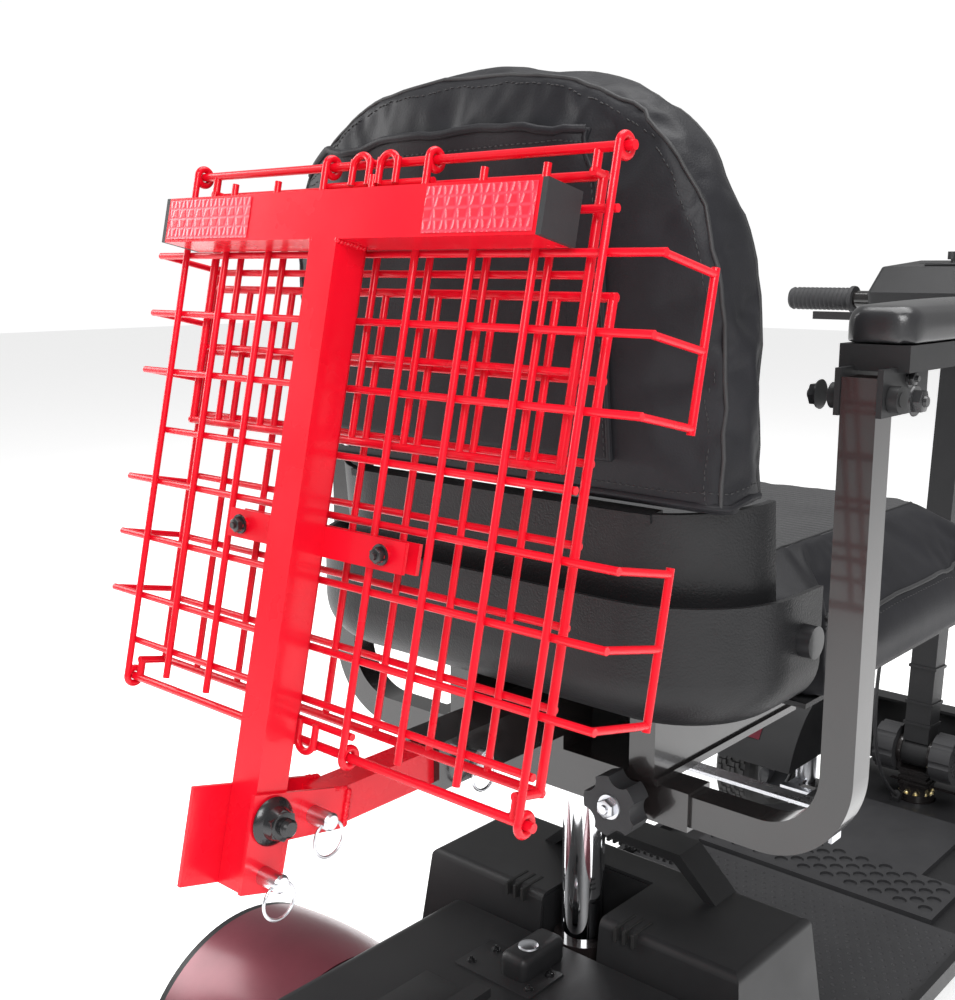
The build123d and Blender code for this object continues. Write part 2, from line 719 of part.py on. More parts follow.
bracket_w = arm_tube / 2 + part_gap
flip_z = arm_top - 14
for name, side in (("left", -1), ("right", 1)):
    with BuildPart() as armrest_tube:
        with BuildLine(Plane.XZ.offset(-arm_y)) as arm_path:
            FilletPolyline((side * 60, arm_z), (side * arm_x, arm_z), (side * arm_x, arm_top),
                           radius=arm_bend)
        with BuildSketch(Plane(origin=(side * 60, arm_y, arm_z), z_dir=(side, 0, 0))):
            Rectangle(arm_tube, arm_tube)
            Rectangle(arm_tube - 2 * arm_wall, arm_tube - 2 * arm_wall, mode=Mode.SUBTRACT)
        sweep(path=arm_path.line)
        rod("x", (side * arm_x, arm_y, flip_z), 5 + run_gap, 60, Mode.SUBTRACT)
    keep(armrest_tube, f"armrest_tube_{name}")

    with BuildPart() as armrest_bracket:
        for cheek_side in (-1, 1):
            x = side * arm_x + cheek_side * (bracket_w + 2)
            block((x - 2, x + 2), (arm_y - 14, arm_y + 60), (flip_z - 12, arm_top + 6))
        rod("x", (side * arm_x, arm_y, flip_z), 5, 2 * (bracket_w + 12))
        for end in (-1, 1):
            rod("x", (side * arm_x + end * (bracket_w + 8), arm_y, flip_z), 9, 7)
        block((side * arm_x - 25, side * arm_x + 25), (arm_y + 8, arm_y + 283),
              (arm_top + 3, arm_top + 21))
    keep(armrest_bracket, f"armrest_bracket_{name}")

    with BuildPart() as armrest_pad:
        block((side * arm_x - 28, side * arm_x + 28), (arm_y + 5, arm_y + 288),
              (arm_top + 21 + part_gap, pad_top))
        fillet(armrest_pad.edges().filter_by(Axis.Z), 18)
        fillet(armrest_pad.edges().group_by(Axis.Z)[-1], 10)
    keep(armrest_pad, f"armrest_pad_{name}")

    knob_y = arm_y - receiver / 2 - 6
    with BuildPart() as clamp_knob:
        rod("y", (side * 85, knob_y - 14, arm_z), 25, 20)
        rod("y", (side * 85, knob_y - part_gap - 3, arm_z), 9, 6)
        with Locations(Location((side * 85, knob_y - 14, arm_z), (90, 0, 0))):
            with PolarLocations(30, 5):
                Cylinder(11, 30, mode=Mode.SUBTRACT)
        shaft_end = arm_y - arm_tube / 2 - part_gap
        rod("y", (side * 85, (knob_y - 10 + shaft_end) / 2, arm_z), 4, shaft_end - knob_y + 10)
    keep(clamp_knob, f"clamp_knob_{name}")

# ---------------------------------------------------------------- carrier

with BuildPart() as hitch_bracket:
    block((-hitch_tube / 2, hitch_tube / 2), (hitch_back, -300),
          (hitch_z - hitch_tube / 2, hitch_z + hitch_tube / 2))
    inner = hitch_tube / 2 - hitch_wall
    block((-inner, inner), (hitch_back - 1, -299), (hitch_z - inner, hitch_z + inner),
          Mode.SUBTRACT)
    for x, rear in ((cheek_x, -4), (-cheek_x - cheek, cheek_rear)):
        with BuildSketch(rack_side(x)):
            with BuildLine():
                Polyline((rear, -358), (78, -360), (78, -389), (30, -391), (29, -425),
                         (rear, cheek_bottom), close=True)
            make_face()
        extrude(amount=cheek)
    rod("x", pivot, pivot_bolt_r + run_gap, 80, Mode.SUBTRACT)
    for v, w in ((pivot_v - lock_reach, pivot_w), (pivot_v, pivot_w + lock_reach)):
        rod("x", rack_point(0, v, w), pin_r + run_gap, 80, Mode.SUBTRACT)
    rod("x", (0, -425, hitch_z), 4 + run_gap, 60, Mode.SUBTRACT)
keep(hitch_bracket, "hitch_bracket")

with BuildPart() as hitch_pin:
    rod("x", (2, -425, hitch_z), 4, 54)
    rod("x", (32, -425, hitch_z), 8, 6)
    with Locations(Location((32, -425, hitch_z - 12), (0, 90, 0))):
        Torus(12.5, 1.2)
keep(hitch_pin, "hitch_pin")

with BuildPart() as pivot_bolt:
    rod("x", rack_point(3, pivot_v, pivot_w), pivot_bolt_r, 56)
    rod("x", rack_point(cheek_x + cheek + 1.5, pivot_v, pivot_w), 15, 3)
    with BuildSketch(Plane(origin=rack_point(cheek_x + cheek + 3, pivot_v, pivot_w),
                           z_dir=(1, 0, 0))):
        RegularPolygon(11, 6)
    extrude(amount=9)
    with BuildSketch(Plane(origin=rack_point(-cheek_x - cheek, pivot_v, pivot_w),
                           z_dir=(-1, 0, 0))):
        RegularPolygon(11, 6)
    extrude(amount=8)
keep(pivot_bolt, "pivot_bolt")

pin_length = 22
for label, v, w in (("lower_lock_pin", pivot_v - lock_reach, pivot_w),
                    ("front_lock_pin", pivot_v, pivot_w + lock_reach)):
    with BuildPart() as lock_pin:
        rod("x", rack_point(cheek_x + part_gap + pin_length / 2, v, w), pin_r, pin_length)
        chamfer(lock_pin.edges().sort_by(Axis.X)[-1], 1.5)
        x, y, z = rack_point(cheek_x + pin_length - 4, v, w)
        with Locations(Location((x, y, z - 12.5), (0, 90, 0))):
            Torus(12.5, 1.1)
    keep(lock_pin, label)

with BuildPart(rack) as carrier_frame:
    half = upright / 2
    block((-half, half), (-upright_length, 1), (-upright, 0))
    block((-half + tube_wall, half - tube_wall), (-upright_length - 1, 2),
          (-upright + tube_wall, -tube_wall), Mode.SUBTRACT)
    block((-bar_half_length, bar_half_length), (0, bar), (-bar, 0))
    block((-bar_half_length - 1, bar_half_length + 1), (tube_wall, bar - tube_wall),
          (-bar + tube_wall, -tube_wall), Mode.SUBTRACT)
    rod("x", (0, pivot_v, -pivot_w), pivot_bolt_r + run_gap, 60, Mode.SUBTRACT)
    rod("x", (0, pivot_v - lock_reach, -pivot_w), pin_r + run_gap, 60, Mode.SUBTRACT)
keep(carrier_frame, "carrier_frame")

with BuildPart(rack) as bar_caps:
    for side in (-1, 1):
        block((side * (bar_half_length + 2) - 2, side * (bar_half_length + 2) + 2),
              (0, bar), (-bar, 0))
        for n in range(3):
            x = side * (bar_half_length - 3 - 6 * n)
            block((x - 1.5, x + 1.5), (tube_wall, bar - tube_wall), (-bar + tube_wall, -tube_wall))
        x = side * (bar_half_length - 9)
        block((x - 9, x + 9), (8, bar - 8), (-bar + 8, -8))
keep(bar_caps, "bar_caps")

clamp_v = -193
with BuildPart(rack) as basket_clamps:
    wire_back = base_w - wire_r - part_gap
    wire_front = base_w + wire_r + part_gap
    for w in (upright, wire_front):
        block((-87, 87), (clamp_v - 10, clamp_v + 10), (-w - 3, -w))
    for side in (-1, 1):
        block((side * 49 - 6, side * 49 + 6), (clamp_v - 10, clamp_v + 10),
              (-wire_back, -upright - 2))
        rod("z", (side * 70, clamp_v, -(upright + 9)), 3, 18)
        rod("z", (side * 70, clamp_v, -upright + 2), 5, 5)
keep(basket_clamps, "basket_clamps")


def upright_wires(xs, low, high, w):
    """Parallel wires that run up the carrier, in the open builder."""
    with Locations(*[(x, (low + high) / 2, -w) for x in xs]):
        Cylinder(wire_r, high - low, rotation=(90, 0, 0))


def cross_wires(vs, half_length, w):
    """Parallel wires that run across the carrier, in the open builder."""
    with Locations(*[(0, v, -w) for v in vs]):
        Cylinder(wire_r, 2 * half_length, rotation=(0, 90, 0))


eye_columns = (-196, -49, 49, 196)
short_columns = (-147, -98, 0, 98, 147)
side_loops = ((-1, -46, -91), (-176, -220, -265))
loop_x = 233
loop_out = 95
cross_w = base_w + 1.6 * wire_r
hump_r = 8
with BuildPart(rack) as basket_base:
    upright_wires(eye_columns, base_bottom + 1, base_top - 1, base_w)
    upright_wires(short_columns, base_bottom + 9, base_top - 9, base_w)
    cross_wires((24, -136, -300), 199, cross_w)
    # the wires that turn forward at the sides and meet an outer bar
    cross_wires(side_loops[0] + side_loops[1], loop_x + wire_r, cross_w)
    for side in (-1, 1):
        for vs in side_loops:
            for v in vs:
                rod("z", (side * loop_x, v, -(cross_w + loop_out) / 2), wire_r - 0.1,
                    loop_out - cross_w)
            rod("y", (side * loop_x, (vs[0] + vs[-1]) / 2, -loop_out), wire_r + 0.1,
                vs[0] - vs[-1] + 3 * wire_r)
    # the eyes that the walls' hinge rods turn in
    for x in eye_columns:
        for v in (base_top, base_bottom):
            with Locations(Location((x, v, -rod_w), (0, 90, 0))):
                Torus(eye_r, eye_wire_r)
    # the double hump at the top, and the twin loops at the bottom
    for v, away in ((base_top, 1), (base_bottom, -1)):
        rod("x", (0, v - away * 14, -cross_w), wire_r, 104)
        for x in (-13, 13):
            with Locations(Location((x, v + away * 2, -base_w), (0, 0, 90 - away * 90))):
                Torus(hump_r, wire_r - 0.1, major_angle=180)
            for leg in (-hump_r, hump_r):
                rod("y", (x + leg, v - away * 6.5, -base_w), wire_r - 0.1, 17)
keep(basket_base, "basket_base")


def make_wall(label, hinge_v, free_v, half_width, wall_w, hinge_half, step):
    """A wire wall on its hinge rod, folded flat against the base."""
    away = 1 if free_v > hinge_v else -1
    foot = hinge_v + away * step
    with BuildPart(rack) as wall:
        rod("x", (0, hinge_v, -rod_w), rod_r, 2 * hinge_half)
        for side in (-1, 1):
            rod("z", (side * half_width, foot, -(rod_w + wall_w) / 2), rod_r - 0.15,
                wall_w - rod_w + 1.6 * rod_r)
            rod("y", (side * half_width, (foot + hinge_v) / 2, -rod_w), rod_r - 0.2, step)
            rod("y", (side * half_width, (foot + free_v) / 2, -wall_w), rod_r,
                abs(free_v - foot) + 1.6 * rod_r)
        rod("x", (0, free_v, -wall_w), rod_r, 2 * half_width + 1.6 * rod_r)
        rod("x", (0, foot, -wall_w), rod_r, 2 * half_width)
        low, high = sorted((foot, free_v))
        upright_wires([49 * n for n in range(-3, 4)], low, high, wall_w)
        count = round((high - low) / 49)
        rows = [foot + (free_v - foot) * n / count for n in range(1, count)]
        cross_wires(rows, half_width, wall_w + 1.6 * wire_r)
    keep(wall, label)


make_wall("basket_wall_short", base_top, base_top - short_wall, 178, rod_w + 8, 203, 14)
make_wall("basket_wall_long", base_bottom, base_bottom + long_wall, 188, rod_w + 21, 203, 14)

# ---------------------------------------------------------------- tiller cable

runs = [Vector(*b) - Vector(*a) for a, b in zip(cable_route, cable_route[1:])]
turns = [radians(a.get_angle(b)) for a, b in zip(runs, runs[1:])]
cable_radii = [
    0.45 * min(a.length, b.length) / tan(turn / 2) for a, b, turn in zip(runs, runs[1:], turns)
]
print("cable radii", [round(r) for r in cable_radii])
with BuildPart() as tiller_cable:
    with BuildLine() as cable_path:
        FilletPolyline(*cable_route, radius=cable_radii)
    with BuildSketch(Plane(origin=cable_path.line @ 0, z_dir=cable_path.line % 0)):
        Circle(cable_r)
    sweep(path=cable_path.line)
keep(tiller_cable, "tiller_cable")
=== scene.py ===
"""Looks for the mobility scooter with its folding carrier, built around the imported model.

Metres, in the model's own frame: X to the rider's right, Y forward, Z up from the ground.
"""

from math import cos, pi, radians, sin

import bmesh
import bpy
from mathutils import Matrix, Vector
from mathutils.bvhtree import BVHTree


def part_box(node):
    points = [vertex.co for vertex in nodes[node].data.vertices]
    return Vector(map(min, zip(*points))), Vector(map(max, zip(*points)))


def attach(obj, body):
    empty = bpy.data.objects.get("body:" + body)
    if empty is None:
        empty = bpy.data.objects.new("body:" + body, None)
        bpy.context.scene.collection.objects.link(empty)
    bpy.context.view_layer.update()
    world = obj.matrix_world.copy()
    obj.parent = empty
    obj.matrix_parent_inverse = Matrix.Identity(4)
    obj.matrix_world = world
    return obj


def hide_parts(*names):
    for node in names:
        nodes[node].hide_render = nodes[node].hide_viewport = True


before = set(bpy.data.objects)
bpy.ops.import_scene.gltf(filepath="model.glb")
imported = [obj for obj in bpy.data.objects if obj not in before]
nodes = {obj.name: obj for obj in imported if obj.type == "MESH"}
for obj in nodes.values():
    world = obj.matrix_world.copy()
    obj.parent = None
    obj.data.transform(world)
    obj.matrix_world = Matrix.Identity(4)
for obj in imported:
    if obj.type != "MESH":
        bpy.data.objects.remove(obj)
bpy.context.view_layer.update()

# ---------------------------------------------------------------- camera and light


lens_mm, sensor_mm = 44.32, 36
camera_place = (0.6097, -1.0820, 0.8232)
camera_heading = Vector((-0.6527, 0.7342, -0.1871))
world_seen, world_glow = 1.02, 0.40  # the backdrop's strength to the camera, and as light


def set_camera():
    camera = bpy.data.objects.new("camera", bpy.data.cameras.new("camera"))
    bpy.context.scene.collection.objects.link(camera)
    camera.data.lens = lens_mm
    camera.data.sensor_width = sensor_mm
    camera.data.clip_start = 0.01
    camera.location = camera_place
    camera.rotation_euler = camera_heading.to_track_quat("-Z", "Y").to_euler()
    bpy.context.scene.camera = camera


def softbox(name, place, aim, size, watts):
    """A rectangular lamp that faces a point."""
    lamp = bpy.data.lights.new(name, "AREA")
    lamp.shape = "RECTANGLE"
    lamp.size, lamp.size_y = size
    lamp.energy = watts
    holder = bpy.data.objects.new(name, lamp)
    bpy.context.scene.collection.objects.link(holder)
    holder.location = place
    holder.rotation_euler = (Vector(aim) - Vector(place)).to_track_quat("-Z", "Y").to_euler()


def set_studio():
    """A white backdrop that glows less than it shows, and three softboxes."""
    world = bpy.data.worlds.new("studio")
    world.use_nodes = True
    tree = world.node_tree
    backdrop = tree.nodes["Background"]
    backdrop.inputs["Color"].default_value = (1, 1, 1, 1)
    seen = tree.nodes.new("ShaderNodeLightPath").outputs["Is Camera Ray"]
    level = tree.nodes.new("ShaderNodeMapRange")
    level.inputs["To Min"].default_value = world_glow
    level.inputs["To Max"].default_value = world_seen
    tree.links.new(seen, level.inputs["Value"])
    tree.links.new(level.outputs["Result"], backdrop.inputs["Strength"])
    bpy.context.scene.world = world
    softbox("key", (2.4, -2.6, 2.6), (0, -0.2, 0.5), (1.8, 1.8), 120)
    softbox("side", (-2.8, -1.2, 1.6), (0, -0.2, 0.5), (1.4, 2.2), 62)
    softbox("top", (0.2, 0.3, 3.4), (0, 0, 0.4), (2.6, 2.6), 100)
    bpy.context.scene.view_settings.view_transform = "Standard"


set_camera()
set_studio()

# ---------------------------------------------------------------- finishes: shared effects


def new_group(name, inputs, outputs):
    """An empty node group with its sockets, and its two end nodes."""
    tree = bpy.data.node_groups.new(name, "ShaderNodeTree")
    for label, kind, value in inputs:
        socket = tree.interface.new_socket(name=label, in_out="INPUT", socket_type=kind)
        if value is not None:
            socket.default_value = value
    for label, kind in outputs:
        tree.interface.new_socket(name=label, in_out="OUTPUT", socket_type=kind)
    start, end = tree.nodes.new("NodeGroupInput"), tree.nodes.new("NodeGroupOutput")
    return tree, start, end


def maths(tree, kind, first, second=0):
    """A maths node's output, from sockets or plain numbers."""
    node = tree.nodes.new("ShaderNodeMath")
    node.operation = kind
    for socket, value in ((node.inputs[0], first), (node.inputs[1], second)):
        if isinstance(value, (int, float)):
            socket.default_value = value
        else:
            tree.links.new(value, socket)
    return node.outputs[0]


def make_grain():
    """Pebbled grain of leatherette or moulded plastic: rounded cells with fine noise."""
    tree, start, end = new_group(
        "pebble_grain",
        [("Place", "NodeSocketVector", None), ("Cells per metre", "NodeSocketFloat", 400.0),
         ("Fine share", "NodeSocketFloat", 0.3)],
        [("Height", "NodeSocketFloat")],
    )
    cells = tree.nodes.new("ShaderNodeTexVoronoi")
    cells.feature = "SMOOTH_F1"
    cells.inputs["Smoothness"].default_value = 0.6
    fine = tree.nodes.new("ShaderNodeTexNoise")
    fine.inputs["Detail"].default_value = 3
    for node in (cells, fine):
        tree.links.new(start.outputs["Place"], node.inputs["Vector"])
    tree.links.new(start.outputs["Cells per metre"], cells.inputs["Scale"])
    double = maths(tree, "MULTIPLY", start.outputs["Cells per metre"], 1.7)
    tree.links.new(double, fine.inputs["Scale"])
    low = maths(tree, "MULTIPLY", fine.outputs["Fac"], start.outputs["Fine share"])
    tree.links.new(maths(tree, "SUBTRACT", low, cells.outputs["Distance"]), end.inputs["Height"])
    return tree


def make_gloss():
    """Gloss that wanders between two values in soft patches, as handling and dust leave it."""
    tree, start, end = new_group(
        "uneven_gloss",
        [("Place", "NodeSocketVector", None), ("Glossiest", "NodeSocketFloat", 0.2),
         ("Dullest", "NodeSocketFloat", 0.4), ("Patches per metre", "NodeSocketFloat", 9.0)],
        [("Roughness", "NodeSocketFloat")],
    )
    noise = tree.nodes.new("ShaderNodeTexNoise")
    noise.inputs["Detail"].default_value = 5
    noise.inputs["Roughness"].default_value = 0.6
    tree.links.new(start.outputs["Place"], noise.inputs["Vector"])
    tree.links.new(start.outputs["Patches per metre"], noise.inputs["Scale"])
    spread = tree.nodes.new("ShaderNodeMapRange")
    spread.inputs["From Min"].default_value = 0.3
    spread.inputs["From Max"].default_value = 0.7
    tree.links.new(noise.outputs["Fac"], spread.inputs["Value"])
    tree.links.new(start.outputs["Glossiest"], spread.inputs["To Min"])
    tree.links.new(start.outputs["Dullest"], spread.inputs["To Max"])
    tree.links.new(spread.outputs["Result"], end.inputs["Roughness"])
    return tree


def make_drift():
    """A colour that drifts a little between two shades, with fine specks of the lighter one."""
    tree, start, end = new_group(
        "shade_drift",
        [("Place", "NodeSocketVector", None), ("Shade", "NodeSocketColor", (0.1, 0.1, 0.1, 1)),
         ("Lighter", "NodeSocketColor", (0.2, 0.2, 0.2, 1)),
         ("Patches per metre", "NodeSocketFloat", 12.0)],
        [("Color", "NodeSocketColor")],
    )
    noise = tree.nodes.new("ShaderNodeTexNoise")
    noise.inputs["Detail"].default_value = 8
    noise.inputs["Roughness"].default_value = 0.65
    tree.links.new(start.outputs["Place"], noise.inputs["Vector"])
    tree.links.new(start.outputs["Patches per metre"], noise.inputs["Scale"])
    spread = tree.nodes.new("ShaderNodeMapRange")
    spread.inputs["From Min"].default_value = 0.35
    spread.inputs["From Max"].default_value = 0.75
    tree.links.new(noise.outputs["Fac"], spread.inputs["Value"])
    mix = tree.nodes.new("ShaderNodeMix")
    mix.data_type = "RGBA"
    tree.links.new(spread.outputs["Result"], mix.inputs["Factor"])
    tree.links.new(start.outputs["Shade"], mix.inputs["A"])
    tree.links.new(start.outputs["Lighter"], mix.inputs["B"])
    tree.links.new(mix.outputs["Result"], end.inputs["Color"])
    return tree


thread_turns, thread_share = 2600, 0.12  # the cross weave's phase per metre, and its height


def make_ribs():
    """Raised ribs across the seat, with a fine cross weave in them."""
    tree, start, end = new_group(
        "ribbed_cloth",
        [("Place", "NodeSocketVector", None), ("Ribs per metre", "NodeSocketFloat", 105.0)],
        [("Height", "NodeSocketFloat")],
    )
    apart = tree.nodes.new("ShaderNodeSeparateXYZ")
    tree.links.new(start.outputs["Place"], apart.inputs["Vector"])
    turns = maths(tree, "MULTIPLY", start.outputs["Ribs per metre"], 2 * pi)
    rib = maths(tree, "SINE", maths(tree, "MULTIPLY", apart.outputs["Y"], turns))
    thread = maths(tree, "SINE", maths(tree, "MULTIPLY", apart.outputs["X"], thread_turns))
    both = maths(tree, "ADD", rib, maths(tree, "MULTIPLY", thread, thread_share))
    tree.links.new(both, end.inputs["Height"])
    return tree


def make_honeycomb():
    """Cells with raised borders, as a reflective film has."""
    tree, start, end = new_group(
        "honeycomb_film",
        [("Place", "NodeSocketVector", None), ("Cells per metre", "NodeSocketFloat", 160.0),
         ("Film", "NodeSocketColor", (0.8, 0.05, 0.1, 1)),
         ("Border", "NodeSocketColor", (0.9, 0.2, 0.25, 1))],
        [("Color", "NodeSocketColor"), ("Height", "NodeSocketFloat")],
    )
    cells = tree.nodes.new("ShaderNodeTexVoronoi")
    cells.feature = "DISTANCE_TO_EDGE"
    cells.inputs["Randomness"].default_value = 0.0
    turn = tree.nodes.new("ShaderNodeMapping")
    turn.inputs["Rotation"].default_value = (0.0, 0.0, pi / 4)
    tree.links.new(start.outputs["Place"], turn.inputs["Vector"])
    tree.links.new(turn.outputs["Vector"], cells.inputs["Vector"])
    tree.links.new(start.outputs["Cells per metre"], cells.inputs["Scale"])
    edge = tree.nodes.new("ShaderNodeMapRange")
    edge.inputs["From Min"].default_value = 0.05
    edge.inputs["From Max"].default_value = 0.20
    tree.links.new(cells.outputs["Distance"], edge.inputs["Value"])
    mix = tree.nodes.new("ShaderNodeMix")
    mix.data_type = "RGBA"
    tree.links.new(edge.outputs["Result"], mix.inputs["Factor"])
    tree.links.new(start.outputs["Border"], mix.inputs["A"])
    tree.links.new(start.outputs["Film"], mix.inputs["B"])
    tree.links.new(mix.outputs["Result"], end.inputs["Color"])
    tree.links.new(edge.outputs["Result"], end.inputs["Height"])
    return tree


grain_group, gloss_group, drift_group = make_grain(), make_gloss(), make_drift()
ribs_group, film_group = make_ribs(), make_honeycomb()


def add_group(tree, group, place, settings):
    """A shared effect in a material, with its named sockets set."""
    effect = tree.nodes.new("ShaderNodeGroup")
    effect.node_tree = group
    for label, value in settings.items():
        effect.inputs[label].default_value = value
    tree.links.new(place, effect.inputs["Place"])
    return effect


def finish(name, shade, lighter, gloss, grain=None, bump=0.0, metal=0.0, coat=0.0, coat_rough=0.1,
           patches=12.0, sheen=0.0, fine=0.3, shine=0.5):
    """A finish whose colour drifts, whose gloss is uneven and whose surface has its grain."""
    material = bpy.data.materials.new(name)
    material.use_nodes = True
    tree = material.node_tree
    surface = tree.nodes["Principled BSDF"]
    surface.inputs["Metallic"].default_value = metal
    surface.inputs["Coat Weight"].default_value = coat
    surface.inputs["Coat Roughness"].default_value = coat_rough
    surface.inputs["Sheen Weight"].default_value = sheen
    surface.inputs["Specular IOR Level"].default_value = shine
    place = tree.nodes.new("ShaderNodeTexCoord").outputs["Object"]
    drift = add_group(tree, drift_group, place, {
        "Shade": (*shade, 1), "Lighter": (*lighter, 1), "Patches per metre": patches})
    uneven = add_group(tree, gloss_group, place, {"Glossiest": gloss[0], "Dullest": gloss[1]})
    tree.links.new(drift.outputs["Color"], surface.inputs["Base Color"])
    tree.links.new(uneven.outputs["Roughness"], surface.inputs["Roughness"])
    if grain:
        pebbles = add_group(tree, grain_group, place, {
            "Cells per metre": grain, "Fine share": fine})
        add_bump(tree, surface, pebbles.outputs["Height"], bump)
    return material


def add_bump(tree, surface, height, depth):
    """Relief of a given depth in metres on a surface."""
    bump = tree.nodes.new("ShaderNodeBump")
    bump.inputs["Strength"].default_value = 1.0
    bump.inputs["Distance"].default_value = depth
    tree.links.new(height, bump.inputs["Height"])
    tree.links.new(bump.outputs["Normal"], surface.inputs["Normal"])


def patterned(name, group, shade, lighter, gloss, depth, coat=0.0, settings=None):
    """A finish whose relief, and its colour if the group gives one, comes from a pattern group."""
    material = finish(name, shade, lighter, gloss, coat=coat)
    tree = material.node_tree
    surface = tree.nodes["Principled BSDF"]
    place = tree.nodes["Texture Coordinate"].outputs["Object"]
    pattern = add_group(tree, group, place, settings or {})
    if "Color" in pattern.outputs:
        tree.links.new(pattern.outputs["Color"], surface.inputs["Base Color"])
    add_bump(tree, surface, pattern.outputs["Height"], depth)
    return material


red_paint = finish("red_powder_coat", (0.62, 0.002, 0.012), (0.70, 0.005, 0.020), (0.22, 0.34),
                   grain=900, bump=0.00004, coat=0.22, coat_rough=0.12, patches=5,
                   shine=0.22)
black_paint = finish("black_gloss_paint", (0.010, 0.009, 0.009), (0.016, 0.012, 0.012),
                     (0.16, 0.26), grain=1100, bump=0.00002, coat=0.6, coat_rough=0.06)
satin_abs = finish("satin_case_plastic", (0.013, 0.013, 0.014), (0.019, 0.019, 0.020),
                   (0.38, 0.48), grain=1500, bump=0.00005, fine=0.6, shine=0.3)
shell_abs = finish("grained_shell_plastic", (0.011, 0.011, 0.012), (0.016, 0.016, 0.017),
                   (0.36, 0.46), grain=620, bump=0.00022, fine=0.5, shine=0.26)
leatherette = finish("leatherette", (0.013, 0.013, 0.015), (0.018, 0.018, 0.021),
                     (0.44, 0.56), grain=700, bump=0.00010, patches=20, shine=0.17)
seam_cord = finish("seam_thread", (0.012, 0.012, 0.013), (0.030, 0.030, 0.032), (0.5, 0.7),
                   grain=2500, bump=0.00008)
pad_skin = finish("armrest_skin", (0.014, 0.014, 0.015), (0.018, 0.018, 0.020), (0.22, 0.34),
                  grain=900, bump=0.00006, coat=0.2, coat_rough=0.2)
rubber = finish("matt_rubber", (0.016, 0.016, 0.018), (0.026, 0.026, 0.028), (0.55, 0.72),
                grain=1300, bump=0.00008)
tyre_rubber = finish("tyre_rubber", (0.014, 0.014, 0.015), (0.030, 0.029, 0.028), (0.6, 0.82),
                     grain=900, bump=0.00012, patches=30)
mirror_chrome = finish("polished_chrome", (0.80, 0.81, 0.83), (0.86, 0.87, 0.89), (0.03, 0.09),
                       metal=1.0)
zinc = finish("zinc_plate", (0.58, 0.59, 0.62), (0.72, 0.73, 0.76), (0.22, 0.38), grain=1600,
              bump=0.00003, metal=1.0, patches=60)
gold_zinc = finish("yellow_zinc_plate", (0.60, 0.50, 0.26), (0.75, 0.68, 0.46), (0.25, 0.4),
                   metal=1.0, patches=60)
black_oxide = finish("black_oxide_steel", (0.012, 0.012, 0.013), (0.022, 0.022, 0.024),
                     (0.20, 0.34), grain=1800, bump=0.00003, metal=0.3, coat=0.3)
cast_metal = finish("cast_aluminium", (0.30, 0.31, 0.32), (0.42, 0.43, 0.44), (0.45, 0.62),
                    grain=700, bump=0.00025, metal=0.9, patches=40)
burgundy = finish("burgundy_metallic", (0.115, 0.006, 0.018), (0.165, 0.016, 0.032),
                  (0.30, 0.42), grain=2600, bump=0.00003, metal=0.35, coat=0.5, coat_rough=0.2)
wheel_grey = finish("wheel_plastic", (0.045, 0.046, 0.050), (0.060, 0.061, 0.066), (0.3, 0.45),
                    grain=1200, bump=0.00005)
# near-black painted shade, standing in for the shadowed hollows of slots
painted_slot_shade = finish("slot_shadow", (0.004, 0.004, 0.004), (0.008, 0.008, 0.008), (0.7, 0.9))
ribbed = patterned("ribbed_seat_cloth", ribs_group, (0.030, 0.030, 0.032), (0.042, 0.042, 0.044),
                   (0.5, 0.62), 0.0007)
tape = patterned("reflective_tape", film_group, (0.68, 0.012, 0.035), (0.74, 0.03, 0.05),
                 (0.25, 0.4), 0.00025, coat=0.4,
                 settings={"Film": (0.66, 0.008, 0.028, 1), "Border": (0.76, 0.035, 0.065, 1),
                           "Cells per metre": 150.0})

node_finishes = {
    "carrier_frame basket_base basket_clamps basket_wall_long basket_wall_short hitch_bracket":
        red_paint,
    "chassis_frame seat_frame armrest_tube_left armrest_tube_right tiller_stem handlebar":
        black_paint,
    "battery_case battery_lid rear_cover deck_pan console armrest_bracket_left "
    "armrest_bracket_right front_bumper tiller_column throttle_lever speed_dial freewheel_lever "
    "front_shroud rear_fenders battery_cells": satin_abs,
    "seat_shell backrest_shell": shell_abs,
    "bar_caps clamp_knob_left clamp_knob_right tilt_knobs floor_mats": rubber,
    "seat_post": mirror_chrome,
    "lower_lock_pin front_lock_pin hitch_pin swivel_lever tie_rod steering_knuckle_left "
    "steering_knuckle_right": zinc,
    "pivot_bolt backrest_bolts": black_oxide,
    "rim_front_left rim_front_right rim_rear_left rim_rear_right": wheel_grey,
    "anti_tip_wheels": tyre_rubber,
    "drive_unit": cast_metal,
}
for names, material in node_finishes.items():
    for name in names.split():
        nodes[name].data.materials.clear()
        nodes[name].data.materials.append(material)

# ---------------------------------------------------------------- mesh helpers

MM = 0.001


def piece(name, mesh, material, body=None):
    """Turns a finished bmesh into a named piece that rides on a body."""
    data = bpy.data.meshes.new(name)
    mesh.to_mesh(data)
    mesh.free()
    made = bpy.data.objects.new(name, data)
    bpy.context.scene.collection.objects.link(made)
    data.materials.append(material)
    if body:
        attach(made, body)
    return made


def shade_smooth(made, angle=35):
    """Smooth faces, with creases kept sharp."""
    made.data.shade_smooth()
    sharp = radians(angle)
    mesh = bmesh.new()
    mesh.from_mesh(made.data)
    for edge in mesh.edges:
        edge.smooth = len(edge.link_faces) < 2 or edge.calc_face_angle(0) < sharp
    mesh.to_mesh(made.data)
    mesh.free()


def round_edges(mesh, edges, radius, segments, clamp=False):
    """Rounds edges of a bmesh with a radius in metres."""
    bmesh.ops.bevel(mesh, geom=edges, offset=radius, segments=segments, profile=0.5,
                    affect="EDGES", material=-1, clamp_overlap=clamp)


def merge_in(mesh, part):
    """Adds a bmesh to another and frees it."""
    data = bpy.data.meshes.new("part")
    part.to_mesh(data)
    part.free()
    mesh.from_mesh(data)


